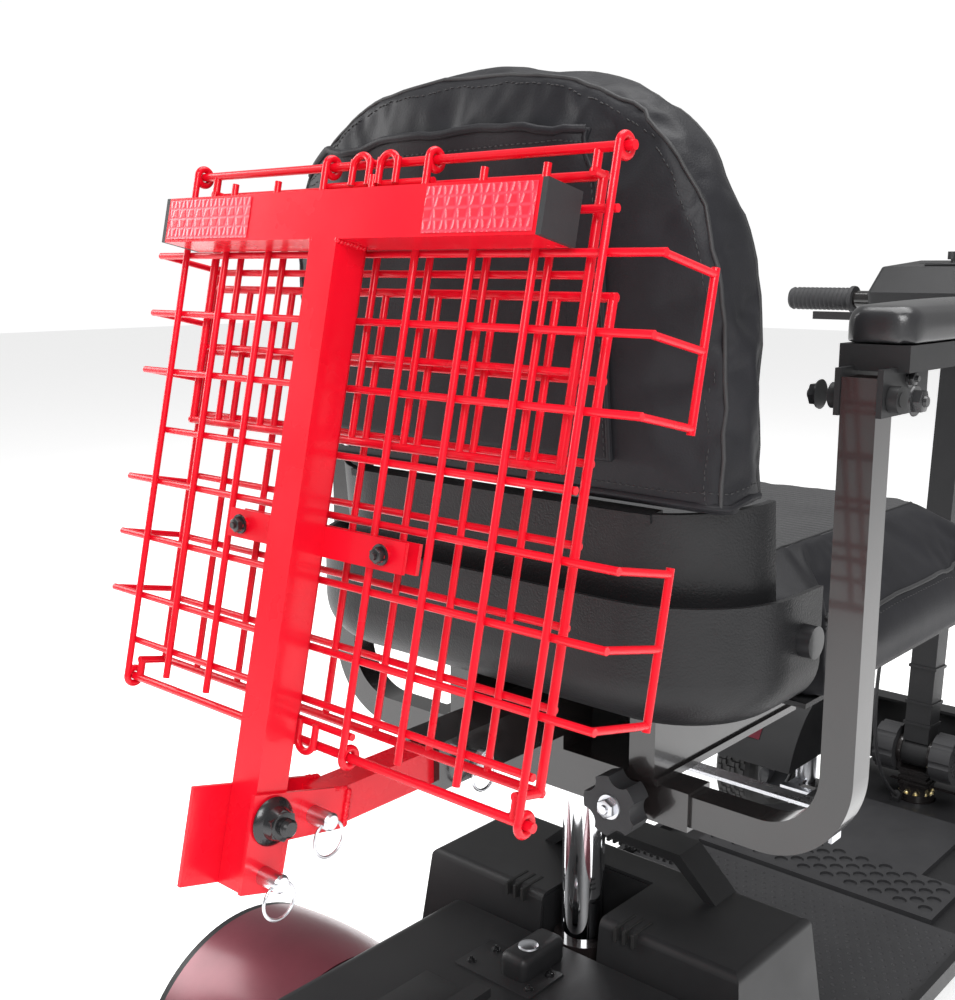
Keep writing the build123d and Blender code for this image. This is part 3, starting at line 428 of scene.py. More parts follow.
def add_block(mesh, low, high, bevel=0.0, segments=3):
    """A block between two corners in millimetres, with rounded edges."""
    low, high = Vector(low) * MM, Vector(high) * MM
    place = Matrix.Translation((low + high) / 2) @ Matrix.Diagonal((*(high - low), 1))
    made = bmesh.ops.create_cube(mesh, size=1, matrix=place)["verts"]
    if bevel:
        edges = list({edge for vert in made for edge in vert.link_edges})
        round_edges(mesh, edges, bevel * MM, segments, clamp=True)


def add_turned(mesh, profile, centre, axis="x", steps=40):
    """Spins a profile of (radius, along) pairs in millimetres about an axis."""
    turn = {"x": Matrix.Rotation(pi / 2, 3, "Y"), "y": Matrix.Rotation(-pi / 2, 3, "X"),
            "z": Matrix.Identity(3)}[axis]
    centre = Vector(centre) * MM
    verts = [mesh.verts.new(centre + turn @ Vector((r * MM, 0, a * MM))) for r, a in profile]
    edges = [mesh.edges.new(pair) for pair in zip(verts, verts[1:])]
    bmesh.ops.spin(mesh, geom=verts + edges, cent=centre, axis=turn @ Vector((0, 0, 1)),
                   angle=2 * pi, steps=steps, use_merge=True)
    bmesh.ops.remove_doubles(mesh, verts=mesh.verts[:], dist=0.00001)
    bmesh.ops.recalc_face_normals(mesh, faces=mesh.faces[:])


def add_hex_bolt(mesh, centre, axis, size, height):
    """A bolt head with a chamfered hexagon, a washer under it and a socket in the middle."""
    turn = {"x": Matrix.Rotation(pi / 2, 4, "Y"), "-x": Matrix.Rotation(-pi / 2, 4, "Y"),
            "y": Matrix.Rotation(-pi / 2, 4, "X"), "-y": Matrix.Rotation(pi / 2, 4, "X"),
            "z": Matrix.Identity(4)}[axis]
    place = Matrix.Translation(Vector(centre) * MM) @ turn

    def add_cone(segments, low_r, high_r, depth, middle):
        return bmesh.ops.create_cone(
            mesh, cap_ends=True, segments=segments, radius1=low_r * MM, radius2=high_r * MM,
            depth=depth * MM, matrix=place @ Matrix.Translation((0, 0, middle * MM)))

    add_cone(24, size * 1.3, size * 1.25, 1.2, 0.6)
    head = add_cone(6, size, size, height, height / 2 + 1)
    top = max((face for vert in head["verts"] for face in vert.link_faces),
              key=lambda face: (place.inverted() @ face.calc_center_median()).z)
    round_edges(mesh, list(top.edges), 0.9 * MM, 2)
    add_cone(20, size * 0.5, size * 0.42, 2.4, height + 1.8)


def follow(name, points, radius, body, material=seam_cord):
    """A round bead of upholstery along points in metres."""
    curve = bpy.data.curves.new(name, "CURVE")
    curve.dimensions = "3D"
    curve.bevel_depth = radius
    curve.bevel_resolution = 2
    curve.use_fill_caps = True
    line = curve.splines.new("POLY")
    line.points.add(len(points) - 1)
    for knot, point in zip(line.points, points):
        knot.co = (*point, 1)
    holder = bpy.data.objects.new(name, curve)
    bpy.context.scene.collection.objects.link(holder)
    bpy.context.view_layer.update()
    data = bpy.data.meshes.new_from_object(holder.evaluated_get(
        bpy.context.evaluated_depsgraph_get()))
    bpy.data.objects.remove(holder)
    data.name = name
    data.materials.clear()
    data.materials.append(material)
    made = bpy.data.objects.new(name, data)
    bpy.context.scene.collection.objects.link(made)
    data.shade_smooth()
    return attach(made, body)


def surface_of(made):
    """A search tree of a piece's final mesh."""
    return BVHTree.FromObject(made, bpy.context.evaluated_depsgraph_get())


def on_surface(tree, points, lift):
    """The nearest places on a piece to some points, lifted off it, and the normals there."""
    found = [tree.find_nearest(point) for point in points]
    return [(place + normal * lift, normal) for place, normal, _, _ in found]


stitch_lift, stitch_width = 0.0002, 0.0011


def stitch_row(name, tree, points, body, pitch=0.0052, length=0.0036):
    """Stitches of one thread, spaced evenly along points on a surface."""
    lengths = [0.0]
    for a, b in zip(points, points[1:]):
        lengths.append(lengths[-1] + (b - a).length)
    mesh = bmesh.new()
    at, span = pitch / 2, 0
    while at < lengths[-1]:
        while lengths[span + 1] < at:
            span += 1
        a, b = points[span], points[span + 1]
        place = a.lerp(b, (at - lengths[span]) / (lengths[span + 1] - lengths[span]))
        (place, normal), = on_surface(tree, [place], stitch_lift)
        along = (b - a).normalized()
        across = normal.cross(along).normalized()
        along = across.cross(normal)
        turn = Matrix((along, across, normal)).transposed().to_4x4()
        bmesh.ops.create_uvsphere(
            mesh, u_segments=6, v_segments=4, radius=0.5,
            matrix=Matrix.Translation(place) @ turn @ Matrix.Diagonal(
                (length, stitch_width, stitch_width, 1)))
        at += pitch
    made = piece(name, mesh, seam_cord, body)
    made.data.shade_smooth()
    return made


def remesh(made, voxel):
    """An even mesh of small quads in place of the piece's own."""
    step = made.modifiers.new("even", "REMESH")
    step.mode = "VOXEL"
    step.voxel_size = voxel
    step.use_smooth_shade = True
    settle(made)


def settle(made):
    """Applies a piece's modifiers to its mesh."""
    bpy.context.view_layer.update()
    made.data = bpy.data.meshes.new_from_object(
        made.evaluated_get(bpy.context.evaluated_depsgraph_get()))
    made.modifiers.clear()


cloth_frames = 20


def plump(made, voxel, pressure, cap, held=None):
    """Swells a cushion's skin as cloth under pressure, holding the points that held() picks."""
    remesh(made, voxel)
    rest = [vert.co.copy() for vert in made.data.vertices]
    kept = made.vertex_groups.new(name="held")
    if held:
        kept.add([vert.index for vert in made.data.vertices if held(vert.co)], 1.0, "REPLACE")
    cloth = made.modifiers.new("cloth", "CLOTH")
    cloth.settings.quality = 6
    cloth.settings.mass = 0.3
    cloth.settings.tension_stiffness = cloth.settings.compression_stiffness = 22
    cloth.settings.shear_stiffness = 12
    cloth.settings.bending_stiffness = 2.5
    cloth.settings.use_pressure = True
    cloth.settings.uniform_pressure_force = pressure
    cloth.settings.effector_weights.gravity = 0
    if held:
        cloth.settings.vertex_group_mass = "held"
    cloth.point_cache.frame_start, cloth.point_cache.frame_end = 1, cloth_frames
    for step in range(1, cloth_frames + 1):
        bpy.context.scene.frame_set(step)
    swollen = made.evaluated_get(bpy.context.evaluated_depsgraph_get()).data
    moved = [vert.co.copy() for vert in swollen.vertices]
    made.modifiers.clear()
    bpy.context.scene.frame_set(1)
    made.vertex_groups.clear()
    for vert, start, end in zip(made.data.vertices, rest, moved):
        step = end - start
        vert.co = start + step * min(1.0, cap / max(step.length, 1e-9))
    made.data.update()
    smoother = made.modifiers.new("round", "SUBSURF")
    smoother.levels = smoother.render_levels = 1
    settle(made)
    made.data.shade_smooth()


def paint(made, choose):
    """Gives each face the finish that choose(middle, normal) numbers."""
    for face in made.data.polygons:
        face.material_index = choose(face.center, face.normal)


# ---------------------------------------------------------------- tiller cable

cable_route = [
    (-0.006, 0.5158, 0.4542), (-0.007, 0.493, 0.455), (-0.010, 0.462, 0.436),
    (-0.013, 0.435, 0.397), (-0.016, 0.417, 0.350), (-0.018, 0.408, 0.298),
    (-0.019, 0.409, 0.245), (-0.020, 0.421, 0.193), (-0.019, 0.444, 0.150),
    (-0.017, 0.474, 0.117), (-0.016, 0.489, 0.108),
]


cable_r = 0.0025


def make_cable():
    """The cable down the tiller, along its listed points."""
    curve = bpy.data.curves.new("control_cable", "CURVE")
    curve.dimensions = "3D"
    curve.bevel_depth = cable_r
    curve.bevel_resolution = 3
    curve.resolution_u = 12
    line = curve.splines.new("NURBS")
    line.points.add(len(cable_route) - 1)
    for knot, point in zip(line.points, cable_route):
        knot.co = (*point, 1)
    line.order_u = 3
    line.use_endpoint_u = True
    cable = bpy.data.objects.new("control_cable", curve)
    bpy.context.scene.collection.objects.link(cable)
    curve.materials.append(rubber)
    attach(cable, "chassis")
    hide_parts("tiller_cable")


make_cable()

# ---------------------------------------------------------------- seat cushion

seat_low, seat_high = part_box("seat_cushion")
insert_half, insert_back, insert_front = 0.150, -0.262, 0.085  # the ribbed panel on its top


def make_cushion():
    """The crowned seat cushion, its skin swollen as cloth."""
    mesh = bmesh.new()
    low, high = seat_low / MM, seat_high / MM
    add_block(mesh, (low.x + 5, low.y + 4, low.z + 0.5), (high.x - 5, high.y - 5, high.z - 20), 0)
    upright = [edge for edge in mesh.edges
               if abs(edge.verts[0].co.z - edge.verts[1].co.z) > 0.01
               and edge.verts[0].co.y > 0]
    round_edges(mesh, upright, 0.058, 8)
    # back corners stand clear of the backrest's ears
    for side in (-1, 1):
        cut = bmesh.ops.bisect_plane(
            mesh, geom=mesh.verts[:] + mesh.edges[:] + mesh.faces[:],
            plane_co=(side * 0.170, -0.2780, 0), plane_no=(side, -2.1, 0), clear_outer=True)
        bmesh.ops.holes_fill(mesh, edges=[e for e in cut["geom_cut"]
                                          if isinstance(e, bmesh.types.BMEdge)])
    top = high.z * MM - 0.020
    rim = [edge for edge in mesh.edges if all(abs(v.co.z - top) < 1e-5 for v in edge.verts)]
    round_edges(mesh, rim, 0.016, 4)
    bmesh.ops.recalc_face_normals(mesh, faces=mesh.faces[:])
    cushion = piece("cushion", mesh, leatherette)
    cushion.data.materials.append(ribbed)
    plump(cushion, 0.0055, 4.5, 0.024, held=lambda place: place.z < seat_low.z + 0.014)
    paint(cushion, lambda place, normal: int(
        normal.z > 0.5 and abs(place.x) < insert_half and insert_back < place.y < insert_front))
    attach(cushion, "seat")
    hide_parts("seat_cushion")
    return cushion


def outline_path(half_width, back, front, corner, z):
    """Points round a cushion's sides and front, from one back corner to the other."""
    path = [Vector((half_width, back + n * 0.01, z))
            for n in range(int((front - corner - back) / 0.01) + 1)]
    for n in range(0, 13):
        a = n / 12 * pi / 2
        path.append(Vector((half_width - corner + corner * cos(a),
                            front - corner + corner * sin(a), z)))
    return path + [Vector((-point.x, point.y, point.z)) for point in reversed(path)]


cushion = make_cushion()
cushion_tree = surface_of(cushion)
seam_z = seat_high.z - 0.030
seam_back, seam_corner = -0.245, 0.06
side_seam = [place for place, _ in on_surface(
    cushion_tree, outline_path(0.226, seam_back, 0.146, seam_corner, seam_z), 0.0004)]
follow("cushion_piping", side_seam, 0.0019, "seat")
stitch_row("cushion_side_stitches", cushion_tree,
           outline_path(0.230, seam_back, 0.150, seam_corner, seam_z - 0.007), "seat",
           pitch=0.0055, length=0.0038)


def insert_edge(offset):
    """The ribbed panel's edge on the cushion's top, moved outward by offset."""
    return outline_path(insert_half + offset, insert_back, insert_front + offset, 0.002,
                        seat_high.z + 0.02)


panel_edge = [place for place, _ in on_surface(cushion_tree, insert_edge(0), 0.0)]
follow("insert_seam", panel_edge, 0.0011, "seat")

# ---------------------------------------------------------------- backrest pad

recline = radians(5.6)
back_up = Vector((0, -sin(recline), cos(recline)))
back_out = Vector((0, -cos(recline), -sin(recline)))
back_pivot = Vector((0, -0.295, 0.560))
back_depth = 0.081
back_face = 0.089
pad_bottom, pad_top = 0.104, 0.4195
back_half = 0.2165
back_spring = 0.215  # where the straight sides turn into the arch
shoulder, crown = 0.74, 0.80  # how square the arch is; 1 would be an ellipse


def back_point(x, up, out):
    """A point given across, up and behind the backrest's pivot, in metres."""
    return back_pivot + Vector((x, 0, 0)) + back_up * up + back_out * out


def back_outline(inset, low, steps=40):
    """The pad's arched outline, from its lower right corner over the top to the left."""
    half, top, spring = back_half - inset, pad_top - inset, back_spring
    path = [(half - 0.006 * (1 - n / 6), low + (spring - low) * n / 6) for n in range(6)]
    for n in range(steps + 1):
        a = pi * n / steps
        x = half * abs(cos(a)) ** shoulder * (1 if cos(a) > 0 else -1)
        path.append((x, spring + (top - spring) * sin(a) ** crown))
    return path + [(-x, up) for x, up in reversed(path[:6])]


def make_backrest():
    """The backrest's arched pad, its skin swollen as cloth."""
    mesh = bmesh.new()
    skin = 0.007
    outline = back_outline(skin, pad_bottom + 0.002)
    face = mesh.faces.new([mesh.verts.new(back_point(x, up, back_face - skin))
                           for x, up in outline])
    pulled = bmesh.ops.extrude_face_region(mesh, geom=[face])
    verts = [v for v in pulled["geom"] if isinstance(v, bmesh.types.BMVert)]
    bmesh.ops.translate(mesh, verts=verts, vec=-back_out * (back_depth - 2 * skin))
    bmesh.ops.recalc_face_normals(mesh, faces=mesh.faces[:])
    rims = [edge for edge in mesh.edges
            if any(len(f.verts) > 4 for f in edge.link_faces)]
    round_edges(mesh, rims, 0.016, 4)
    pad = piece("backrest_cushion", mesh, leatherette)
    bottom = back_point(0, pad_bottom + 0.012, 0)
    plump(pad, 0.0055, 3.0, 0.009, held=lambda place: (place - bottom).dot(back_up) < 0)
    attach(pad, "backrest")
    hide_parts("backrest_pad")
    return pad


backrest = make_backrest()
backrest_tree = surface_of(backrest)


def back_path(inset, out, low=pad_bottom + 0.008, steps=60):
    """The pad's outline at one depth, as points in the model's frame."""
    return [back_point(x, up, out) for x, up in back_outline(inset, low, steps)]


def trace(path, lift):
    """A path laid on the pad's skin."""
    return [place for place, _ in on_surface(backrest_tree, path, lift)]


seam_r = 0.0016
follow("backrest_rear_seam", trace(back_path(0.004, back_face - 0.010), 0.0001), seam_r,
       "backrest")
stitch_row("backrest_rear_stitches", backrest_tree, back_path(0.014, back_face + 0.004),
           "backrest")
follow("backrest_front_seam", trace(back_path(0.004, back_face - back_depth + 0.012), 0.0001),
       seam_r, "backrest")


def make_hem():
    """The cover's hem, a folded band round the pad's lower edge."""
    ring = []
    for x, out in ((0.214, 0.020), (0.216, 0.045), (0.2135, 0.070), (0.204, 0.086),
                   (0.185, 0.0905), (0.12, 0.0915), (0.04, 0.0915)):
        ring.append((x, out))
    ring += [(-x, out) for x, out in reversed(ring)]
    path = [back_point(x, pad_bottom + 0.006, out) for x, out in ring]
    return trace(path, 0.0002)


follow("cover_hem", make_hem(), 0.0026, "backrest", leatherette)
hem_line = [p + back_up * 0.010 for p in make_hem()]
stitch_row("hem_stitches", backrest_tree, hem_line, "backrest")


def make_pocket():
    """The flat pocket behind the backrest: a panel with a slack mouth."""
    mesh = bmesh.new()
    left, right, low, high = -0.196, 0.128, 0.135, 0.366
    columns, rows = 40, 30
    grid = [[None] * (rows + 1) for _ in range(columns + 1)]
    for i in range(columns + 1):
        for j in range(rows + 1):
            s, t = i / columns, j / rows
            x = left + (right - left) * s
            up = low + (high - low) * t + 0.006 * s * t
            edge = min(s, 1 - s) * 9
            slack = 0.0075 * t ** 3 * min(1, edge)
            ripple = 0.0012 * sin(21 * s + 3) * t * t
            place, _, _, _ = backrest_tree.find_nearest(back_point(x, up, back_face + 0.02))
            grid[i][j] = mesh.verts.new(place + back_out * (0.0035 + slack + ripple))
    for i in range(columns):
        for j in range(rows):
            mesh.faces.new((grid[i][j], grid[i][j + 1], grid[i + 1][j + 1], grid[i + 1][j]))
    bmesh.ops.recalc_face_normals(mesh, faces=mesh.faces[:])
    if mesh.faces[:][0].normal.dot(back_out) < 0:
        bmesh.ops.reverse_faces(mesh, faces=mesh.faces[:])
    pocket = piece("backrest_pocket", mesh, leatherette)
    wall = pocket.modifiers.new("cloth_thickness", "SOLIDIFY")
    wall.thickness = 0.0032
    wall.offset = -1
    round_off = pocket.modifiers.new("round", "SUBSURF")
    round_off.levels = round_off.render_levels = 1
    settle(pocket)
    pocket.data.shade_smooth()
    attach(pocket, "backrest")
    return pocket, (left, right, low, high)


pocket, (pocket_left, pocket_right, pocket_low, pocket_high) = make_pocket()
pocket_tree = surface_of(pocket)
mouth = [back_point(pocket_left + (pocket_right - pocket_left) * n / 30,
                    pocket_high + 0.006 * n / 30 - 0.001, back_face + 0.020) for n in range(31)]
follow("pocket_mouth_binding", [p for p, _ in on_surface(pocket_tree, mouth, 0.0)], 0.0030,
       "backrest", leatherette)
for label, x in (("left", pocket_left), ("right", pocket_right)):
    side = [back_point(x, pocket_low + (pocket_high - pocket_low) * n / 30, back_face + 0.020)
            for n in range(31)]
    follow(f"pocket_side_binding_{label}", [p for p, _ in on_surface(pocket_tree, side, 0.0)],
           0.0019, "backrest", leatherette)
for label, drop in (("pocket_hem_stitches", 0.016), ("pocket_hem_stitches_lower", 0.022)):
    stitch_row(label, pocket_tree, [p - back_up * drop for p in mouth], "backrest")
for label, x in (("left", pocket_left + 0.006), ("right", pocket_right - 0.006)):
    stitch_row(f"pocket_side_stitches_{label}", pocket_tree,
               [back_point(x, pocket_low + 0.008 + n * 0.01, back_face + 0.02)
                for n in range(22)], "backrest")


def make_cover_studs():
    """The domed washers that hold the cover to the backrest's board."""
    mesh = bmesh.new()
    for x in (-0.147, -0.042, 0.056):
        place, _, _, _ = backrest_tree.find_nearest(back_point(x, pad_bottom + 0.016, 0.12))
        part = bmesh.new()
        add_turned(part, [(0, 2.8), (1.8, 2.6), (2.6, 1.8), (5.0, 1.4), (6.8, 0.8), (7.2, -1), (0, -1)],
                   place / MM, "y", 24)
        bmesh.ops.rotate(part, verts=part.verts[:], cent=place,
                         matrix=Matrix.Rotation(pi - recline, 3, "X"))
        merge_in(mesh, part)
    studs = piece("cover_studs", mesh, zinc, "backrest")
    shade_smooth(studs)


make_cover_studs()

# ---------------------------------------------------------------- armrests


def make_arm_pad(side, name):
    """An armrest's padded top, and the nuts on its bracket."""
    low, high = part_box(f"armrest_pad_{name}")
    low, high = low / MM, high / MM
    mesh = bmesh.new()
    add_block(mesh, (low.x + 2.5, low.y + 2.5, low.z + 0.3), (high.x - 2.5, high.y - 2.5, high.z - 3))
    ends = [e for e in mesh.edges if abs(e.verts[0].co.z - e.verts[1].co.z) > 0.01]
    round_edges(mesh, ends, 0.017, 6)
    top = (high.z - 3) * MM
    rim = [e for e in mesh.edges if all(abs(v.co.z - top) < 1e-5 for v in e.verts)]
    round_edges(mesh, rim, 0.010, 4)
    pad = piece(f"arm_pad_cushion_{name}", mesh, pad_skin)
    bottom = low.z * MM + 0.008
    plump(pad, 0.004, 5.0, 0.004, held=lambda place: place.z < bottom)
    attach(pad, f"arm_pad_{name}")
    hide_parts(f"armrest_pad_{name}")
    fittings = bmesh.new()
    for end in (-1, 1):
        add_hex_bolt(fittings, (side * 256 + end * 33, -290, 736), "x" if end > 0 else "-x", 8, 6)
        add_hex_bolt(fittings, (side * 256 + end * 17, -262, 748), "x" if end > 0 else "-x", 5, 4)
    bolts = piece(f"arm_pivot_nuts_{name}", fittings, black_oxide, f"arm_pad_{name}")
    shade_smooth(bolts)


for arm_side, arm_name in ((-1, "left"), (1, "right")):
    make_arm_pad(arm_side, arm_name)


def make_knob_bolts(side, name):
    """The bolt's head in a star knob."""
    mesh = bmesh.new()
    add_hex_bolt(mesh, (side * 85, -336, 405), "-y", 8, 6)
    bolt = piece(f"knob_bolt_{name}", mesh, zinc, f"clamp_knob_{name}")
    shade_smooth(bolt)


make_knob_bolts(-1, "left")
make_knob_bolts(1, "right")

# ---------------------------------------------------------------- wheels


rim_share, band_share = 0.64, 0.72  # the rim over the radius, the tread band over the width
tread_depth = 3


def make_tyre(name, side):
    """A tyre with staggered tread blocks across its band."""
    low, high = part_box(f"tyre_{name}")
    centre = (low + high) / 2 / MM
    radius, half = (high.z - low.z) / 2 / MM, (high.x - low.x) / 2 / MM
    inner = radius * rim_share
    base = radius - tread_depth
    band = half * band_share
    profile = [(inner, -half + 5), (inner + 6, -half + 1), (base - 16, -half), (base - 5, -half + 3)]
    profile += [(base, -band + 2 * band * n / 6) for n in range(7)]
    profile += [(base - 5, half - 3), (base - 16, half), (inner + 6, half - 1), (inner, half - 5),
                (inner, -half + 5)]
    mesh = bmesh.new()
    add_turned(mesh, profile, centre, "x", 72)
    middle = centre * MM
    blocks = []
    for face in mesh.faces:
        place = face.calc_center_median() - middle
        reach = Vector((0, place.y, place.z)).length
        if reach < (base - 1.2) * MM or abs(place.x) > band * MM:
            continue
        column = int((place.x / MM + band) / (band / 3))
        turn = int(round(Vector((place.y, place.z)).angle_signed(Vector((1, 0)), 0) / (2 * pi / 72)
                         - 0.5))
        if (turn + column) % 3:
            blocks.append(face)
    bmesh.ops.inset_individual(mesh, faces=blocks, thickness=0.0012, depth=0.0028)
    tyre = piece(f"treaded_tyre_{name}", mesh, tyre_rubber, f"wheel_{name}")
    shade_smooth(tyre, 28)
    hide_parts(f"tyre_{name}")
    cap = bmesh.new()
    hub = centre.x + side * (half - 4)
    add_turned(cap, [(0, side * 6), (10, side * 5.4), (15, side * 3), (17, 0), (17, -side * 6),
                     (0, -side * 6)], (hub, centre.y, centre.z), "x", 32)
    shade_smooth(piece(f"hub_cap_{name}", cap, satin_abs, f"wheel_{name}"))


for wheel_side, wheel_name in ((-1, "rear_left"), (1, "rear_right"), (-1, "front_left"),
                               (1, "front_right")):
    make_tyre(wheel_name, wheel_side)

# ---------------------------------------------------------------- fenders, cover and battery


def make_fender_panel(name, side, centre, radius, x_in, x_out, start, end, body):
    """A painted panel that follows the top of a wheel arch."""
    mesh = bmesh.new()
    centre = Vector(centre)
    across = [x_in + (x_out - x_in) * n / 8 for n in range(9)]
    verts = []
    for n, x in enumerate(across):
        swell = 0.004 * sin(pi * n / 8)
        a = radians(start)
        verts.append(mesh.verts.new(centre + Vector((side * x - centre.x,
                                                     (radius + swell) * cos(a),
                                                     (radius + swell) * sin(a)))))
    edges = [mesh.edges.new(pair) for pair in zip(verts, verts[1:])]
    bmesh.ops.spin(mesh, geom=verts + edges, cent=centre, axis=(1, 0, 0),
                   angle=radians(end - start), steps=36)
    bmesh.ops.recalc_face_normals(mesh, faces=mesh.faces[:])
    if sum(f.normal.dot(f.calc_center_median() - centre) for f in mesh.faces) < 0:
        bmesh.ops.reverse_faces(mesh, faces=mesh.faces[:])
    bmesh.ops.solidify(mesh, geom=mesh.faces[:], thickness=0.0016)
    panel = piece(name, mesh, burgundy, body)
    shade_smooth(panel)


for fender_side, fender_name in ((-1, "left"), (1, "right")):
    make_fender_panel(f"rear_fender_panel_{fender_name}", fender_side, (0, -0.425, 0.102), 0.1178,
                      0.138, 0.268, 16, 164, "chassis")
    make_fender_panel(f"front_fender_panel_{fender_name}", fender_side, (0, 0.520, 0.100), 0.1478,
                      0.176, 0.278, 30, 150, "chassis")


cover_top, hump_top = 229, 252


def make_cover_details():
    """The recessed service plate with its screws, and the hump with the release disc."""
    plate = bmesh.new()
    add_block(plate, (-52, -368, cover_top - 1.5), (31, -320, cover_top + 2), 1.2, 2)
    add_block(plate, (-62, -470, cover_top - 1.5), (-6, -392, cover_top + 1), 1.0, 2)
    plate = piece("service_plate", plate, satin_abs, "chassis")
    shade_smooth(plate)
    hump = bmesh.new()
    add_block(hump, (-12, -356, cover_top - 3), (16, -298, hump_top), 7, 4)
    hump = piece("release_hump", hump, satin_abs, "chassis")
    shade_smooth(hump)
    disc = bmesh.new()
    add_turned(disc, [(0, 2.2), (7, 2.2), (8.5, 1.4), (9, 0), (0, 0)], (3, -334, hump_top), "z", 32)
    shade_smooth(piece("release_disc", disc, zinc, "chassis"))
    screws = bmesh.new()
    for x, y in ((-42, -357), (-37, -330), (23, -330), (23, -358)):
        add_hex_bolt(screws, (x, y, cover_top + 1.8), "z", 3.2, 1.6)
    shade_smooth(piece("plate_screws", screws, black_oxide, "chassis"))


make_cover_details()


def make_battery_details():
    """Near-black blocks of painted shade in place of vent slots by the notch's corners, and the ribs of
    the handle's grip.
    """
    slots = bmesh.new()
    # the slots are not cut: each is a near-black block, painted shade standing in for the slot's hollow
    for side in (-1, 1):
        for n in range(3):
            x = side * (52 + 9 * n)
            add_block(slots, (x - 1.6, -277, 250), (x + 1.6, -246, 262.6), 0.5, 1)
    piece("vent_slot_painted_shade", slots, painted_slot_shade, "chassis")
    teeth = bmesh.new()
    for n in range(15):
        add_block(teeth, (-49 + 7 * n - 1.8, -186.8, 286), (-49 + 7 * n + 1.8, -180, 290), 0.6, 1)
    piece("handle_grip_ribs", teeth, satin_abs, "chassis")


make_battery_details()


dot_pitch = 0.0125
dots_half, dots_back, dots_front, dots_z = 0.184, -0.108, 0.183, 0.1036


def make_mat_dots():
    """Raised dots over the deck mat, in staggered rows."""
    mesh = bmesh.new()
    row, y = 0, dots_back
    while y < dots_front:
        x = -dots_half + (dot_pitch / 2 if row % 2 else 0)
        while x < dots_half + 0.001:
            bmesh.ops.create_cone(mesh, cap_ends=True, segments=6, radius1=0.0026, radius2=0.0014,
                                  depth=0.0014, matrix=Matrix.Translation((x, y, dots_z)))
            x += dot_pitch
        y += dot_pitch * 0.87
        row += 1
    dots = piece("mat_dots", mesh, rubber, "chassis")
    shade_smooth(dots, 50)


make_mat_dots()

# ---------------------------------------------------------------- carrier trim

carrier_lean = radians(12.65)
bar_y, bar_z = -0.545, 0.840


def carrier_point(u, v, w):
    """A point across, up and in front of the carrier's upright, in metres."""
    return Vector((u, bar_y + v * sin(carrier_lean) + w * cos(carrier_lean),
                   bar_z + v * cos(carrier_lean) - w * sin(carrier_lean)))


def make_tapes():
    """Strips of reflective film on the rear face of the bar."""
    mesh = bmesh.new()
    low, high, out = 0.002, 0.030, -0.0006
    for a, b in ((-0.172, -0.079), (0.087, 0.172)):
        corners = [carrier_point(x, v, out) for x, v in ((a, low), (b, low), (b, high), (a, high))]
        face = mesh.faces.new([mesh.verts.new(p) for p in corners])
        face.normal_update()
        if face.normal.y > 0:
            face.normal_flip()
    bmesh.ops.solidify(mesh, geom=mesh.faces[:], thickness=0.0004)
    piece("reflective_strips", mesh, tape, "carrier")


make_tapes()


def add_bead(mesh, start, end, radius, count):
    """A row of overlapping lumps along a line, as a weld leaves."""
    start, end = Vector(start), Vector(end)
    along = (end - start).normalized()
    turn = along.to_track_quat("X", "Z").to_matrix().to_4x4()
    for n in range(count):
        place = start.lerp(end, (n + 0.5) / count)
        wobble = 1 + 0.12 * sin(2.3 * n)
        bmesh.ops.create_uvsphere(mesh, u_segments=10, v_segments=6, radius=1,
                                  matrix=Matrix.Translation(place) @ turn
                                  @ Matrix.Diagonal((radius * 1.1, radius * wobble,
                                                     radius * wobble, 1)))


def make_welds():
    """Weld beads where the bar meets the upright and the cheek plates meet the hitch tube."""
    mesh = bmesh.new()
    for x in (-0.0127, 0.0127):
        add_bead(mesh, carrier_point(x, -0.0005, 0), carrier_point(x, -0.0005, 0.0254), 0.0022, 9)
    add_bead(mesh, carrier_point(-0.0127, -0.0005, 0.0255), carrier_point(0.0127, -0.0005, 0.0255),
             0.0022, 9)
    welds = piece("carrier_welds", mesh, red_paint, "carrier")
    welds.data.shade_smooth()
    mesh = bmesh.new()
    for side in (-1, 1):
        add_bead(mesh, carrier_point(side * 0.0145, -0.361, 0.066),
                 carrier_point(side * 0.0145, -0.361, 0.0775), 0.0020, 5)
        add_bead(mesh, carrier_point(side * 0.0165, -0.362, 0.0785),
                 carrier_point(side * 0.0165, -0.387, 0.0785), 0.0024, 9)
    welds = piece("hitch_welds", mesh, red_paint, "seat")
    welds.data.shade_smooth()


make_welds()


def make_pivot_thread():
    """The pivot bolt's threaded end beyond its flange nut."""
    mesh = bmesh.new()
    profile = [(0, -4)]
    for n in range(8):
        profile += [(5.2, -4 + n * 1.25), (6.1, -3.4 + n * 1.25)]
    profile += [(4.6, 6.6), (0, 6.8)]
    centre = carrier_point(0.029, -0.376, 0.013) / MM
    add_turned(mesh, profile, centre, "x", 28)
    shade_smooth(piece("pivot_thread", mesh, black_oxide, "seat"))
    flange = bmesh.new()
    centre = carrier_point(0.0162, -0.376, 0.013) / MM
    add_turned(flange, [(0, 0), (15.6, 0), (16.4, 1.4), (15.2, 3.4), (11.6, 5.2), (10.4, 9.6),
                        (9.2, 12.6), (6.3, 13.2), (0, 13.2)], centre, "x", 40)
    shade_smooth(piece("pivot_flange", flange, black_oxide, "seat"))


make_pivot_thread()


def make_clamp_bolts():
    """The bolts that hold the base between its clamp plates."""
    mesh = bmesh.new()
    for out, facing in ((0.0222, "-y"), (0.0410, "y")):
        for x in (-0.070, 0.070):
            add_hex_bolt(mesh, carrier_point(x, -0.193, out) / MM, facing, 5.4, 4.5)
    shade_smooth(piece("clamp_bolts", mesh, black_oxide, "carrier"))


make_clamp_bolts()

# ---------------------------------------------------------------- tiller and handlebar


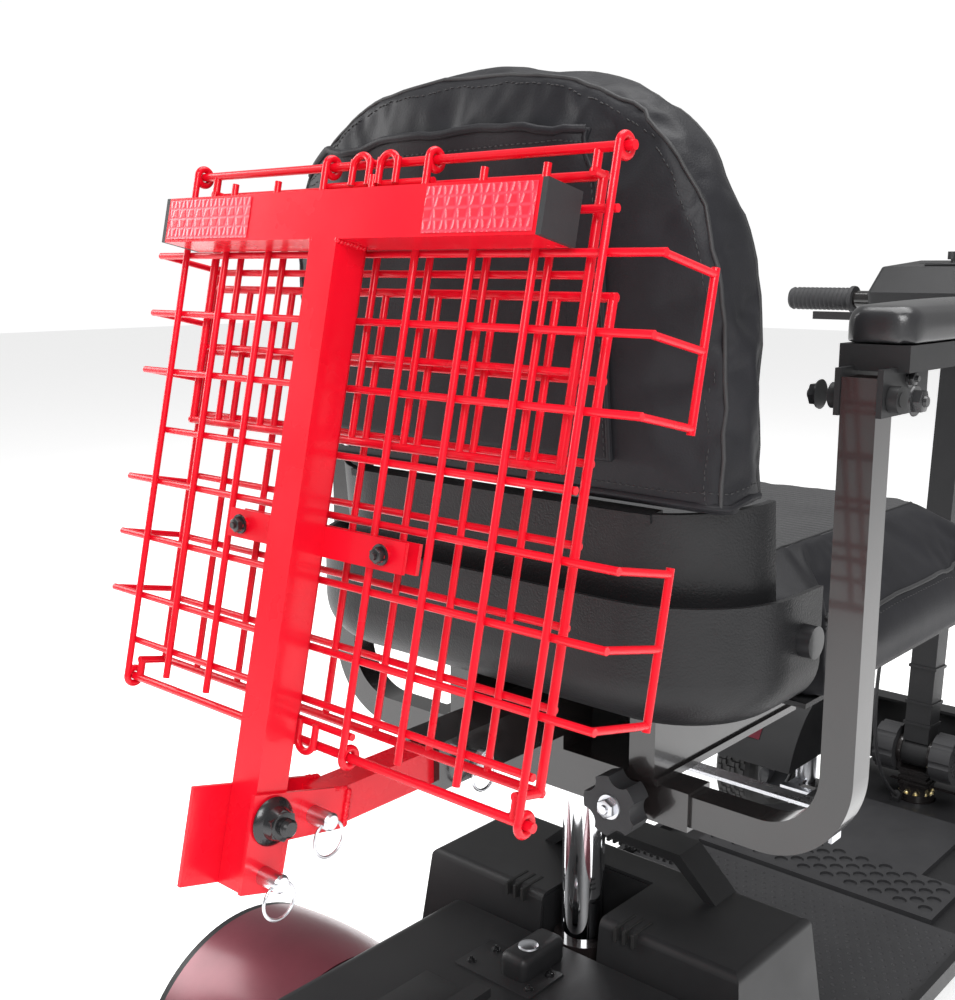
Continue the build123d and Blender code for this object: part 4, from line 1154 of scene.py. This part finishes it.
def make_grips():
    """Ribbed rubber grips with a thick flange at their inner end."""
    mesh = bmesh.new()
    for side in (-1, 1):
        profile = [(11.2, -45), (16.8, -45), (17.2, -43), (17.0, -40), (13.6, -38)]
        for n in range(12):
            profile += [(13.6, -36 + n * 6.2), (14.8, -34.4 + n * 6.2), (14.8, -32.2 + n * 6.2),
                        (13.6, -30.8 + n * 6.2)]
        profile += [(13.6, 40), (14.9, 42), (13.2, 45.4), (8, 46), (0, 46)]
        profile = [(r, side * a) for r, a in profile]
        part = bmesh.new()
        add_turned(part, profile, (side * 149, 465, 780), "x", 32)
        merge_in(mesh, part)
    grips = piece("ribbed_grips", mesh, rubber, "tiller_head")
    shade_smooth(grips, 40)
    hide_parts("grips")


make_grips()


def make_tiller_trim():
    """The bolts round the tiller's foot, and the ribs on its knobs."""
    mesh = bmesh.new()
    bolts, bolt_ring, ribs = 10, 20.5, 16
    for n in range(bolts):
        a = 2 * pi * n / bolts
        add_hex_bolt(mesh, (bolt_ring * cos(a), 520 + bolt_ring * sin(a), 109), "z", 2.9, 2.4)
    shade_smooth(piece("tiller_foot_bolts", mesh, gold_zinc, "tiller_base"))
    knob = bmesh.new()
    for side in (-1, 1):
        for n in range(ribs):
            a = 2 * pi * n / ribs
            place = Vector((side * 53.2, 520 + 17 * cos(a), 165 + 17 * sin(a))) * MM
            bmesh.ops.create_cube(knob, size=1, matrix=Matrix.Translation(place)
                                  @ Matrix.Rotation(a, 4, "X")
                                  @ Matrix.Diagonal((0.0016, 0.013, 0.0022, 1)))
    round_edges(knob, knob.edges[:], 0.0005, 1)
    piece("knob_ribs", knob, rubber, "tilt_knobs")


make_tiller_trim()


def make_console_trim():
    """A key switch and a gauge's bezel on the console's upper face."""
    mesh = bmesh.new()
    add_turned(mesh, [(0, 4), (9, 4), (10, 3), (10.5, -2), (0, -2)], (46, 536, 826.5), "z", 32)
    shade_smooth(piece("key_switch", mesh, zinc, "tiller_head"))
    mesh = bmesh.new()
    add_block(mesh, (-22, 478, 821.5), (22, 506, 826.5), 2.4, 3)
    shade_smooth(piece("gauge_bezel", mesh, satin_abs, "tiller_head"))


make_console_trim()

# ---------------------------------------------------------------- floor


def make_floor():
    """A wide white floor under the wheels."""
    mesh = bmesh.new()
    bmesh.ops.create_grid(mesh, x_segments=1, y_segments=1, size=14,
                          matrix=Matrix.Translation((0, 0, -0.0005)))
    data = bpy.data.meshes.new("floor")
    mesh.to_mesh(data)
    mesh.free()
    floor = bpy.data.objects.new("floor", data)
    bpy.context.scene.collection.objects.link(floor)
    white = finish("pale_floor", (0.98, 0.98, 0.98), (1.0, 1.0, 1.0), (0.8, 0.9))
    surface = white.node_tree.nodes["Principled BSDF"]
    surface.inputs["Emission Color"].default_value = (1, 1, 1, 1)
    surface.inputs["Emission Strength"].default_value = 0.45
    data.materials.append(white)


make_floor()
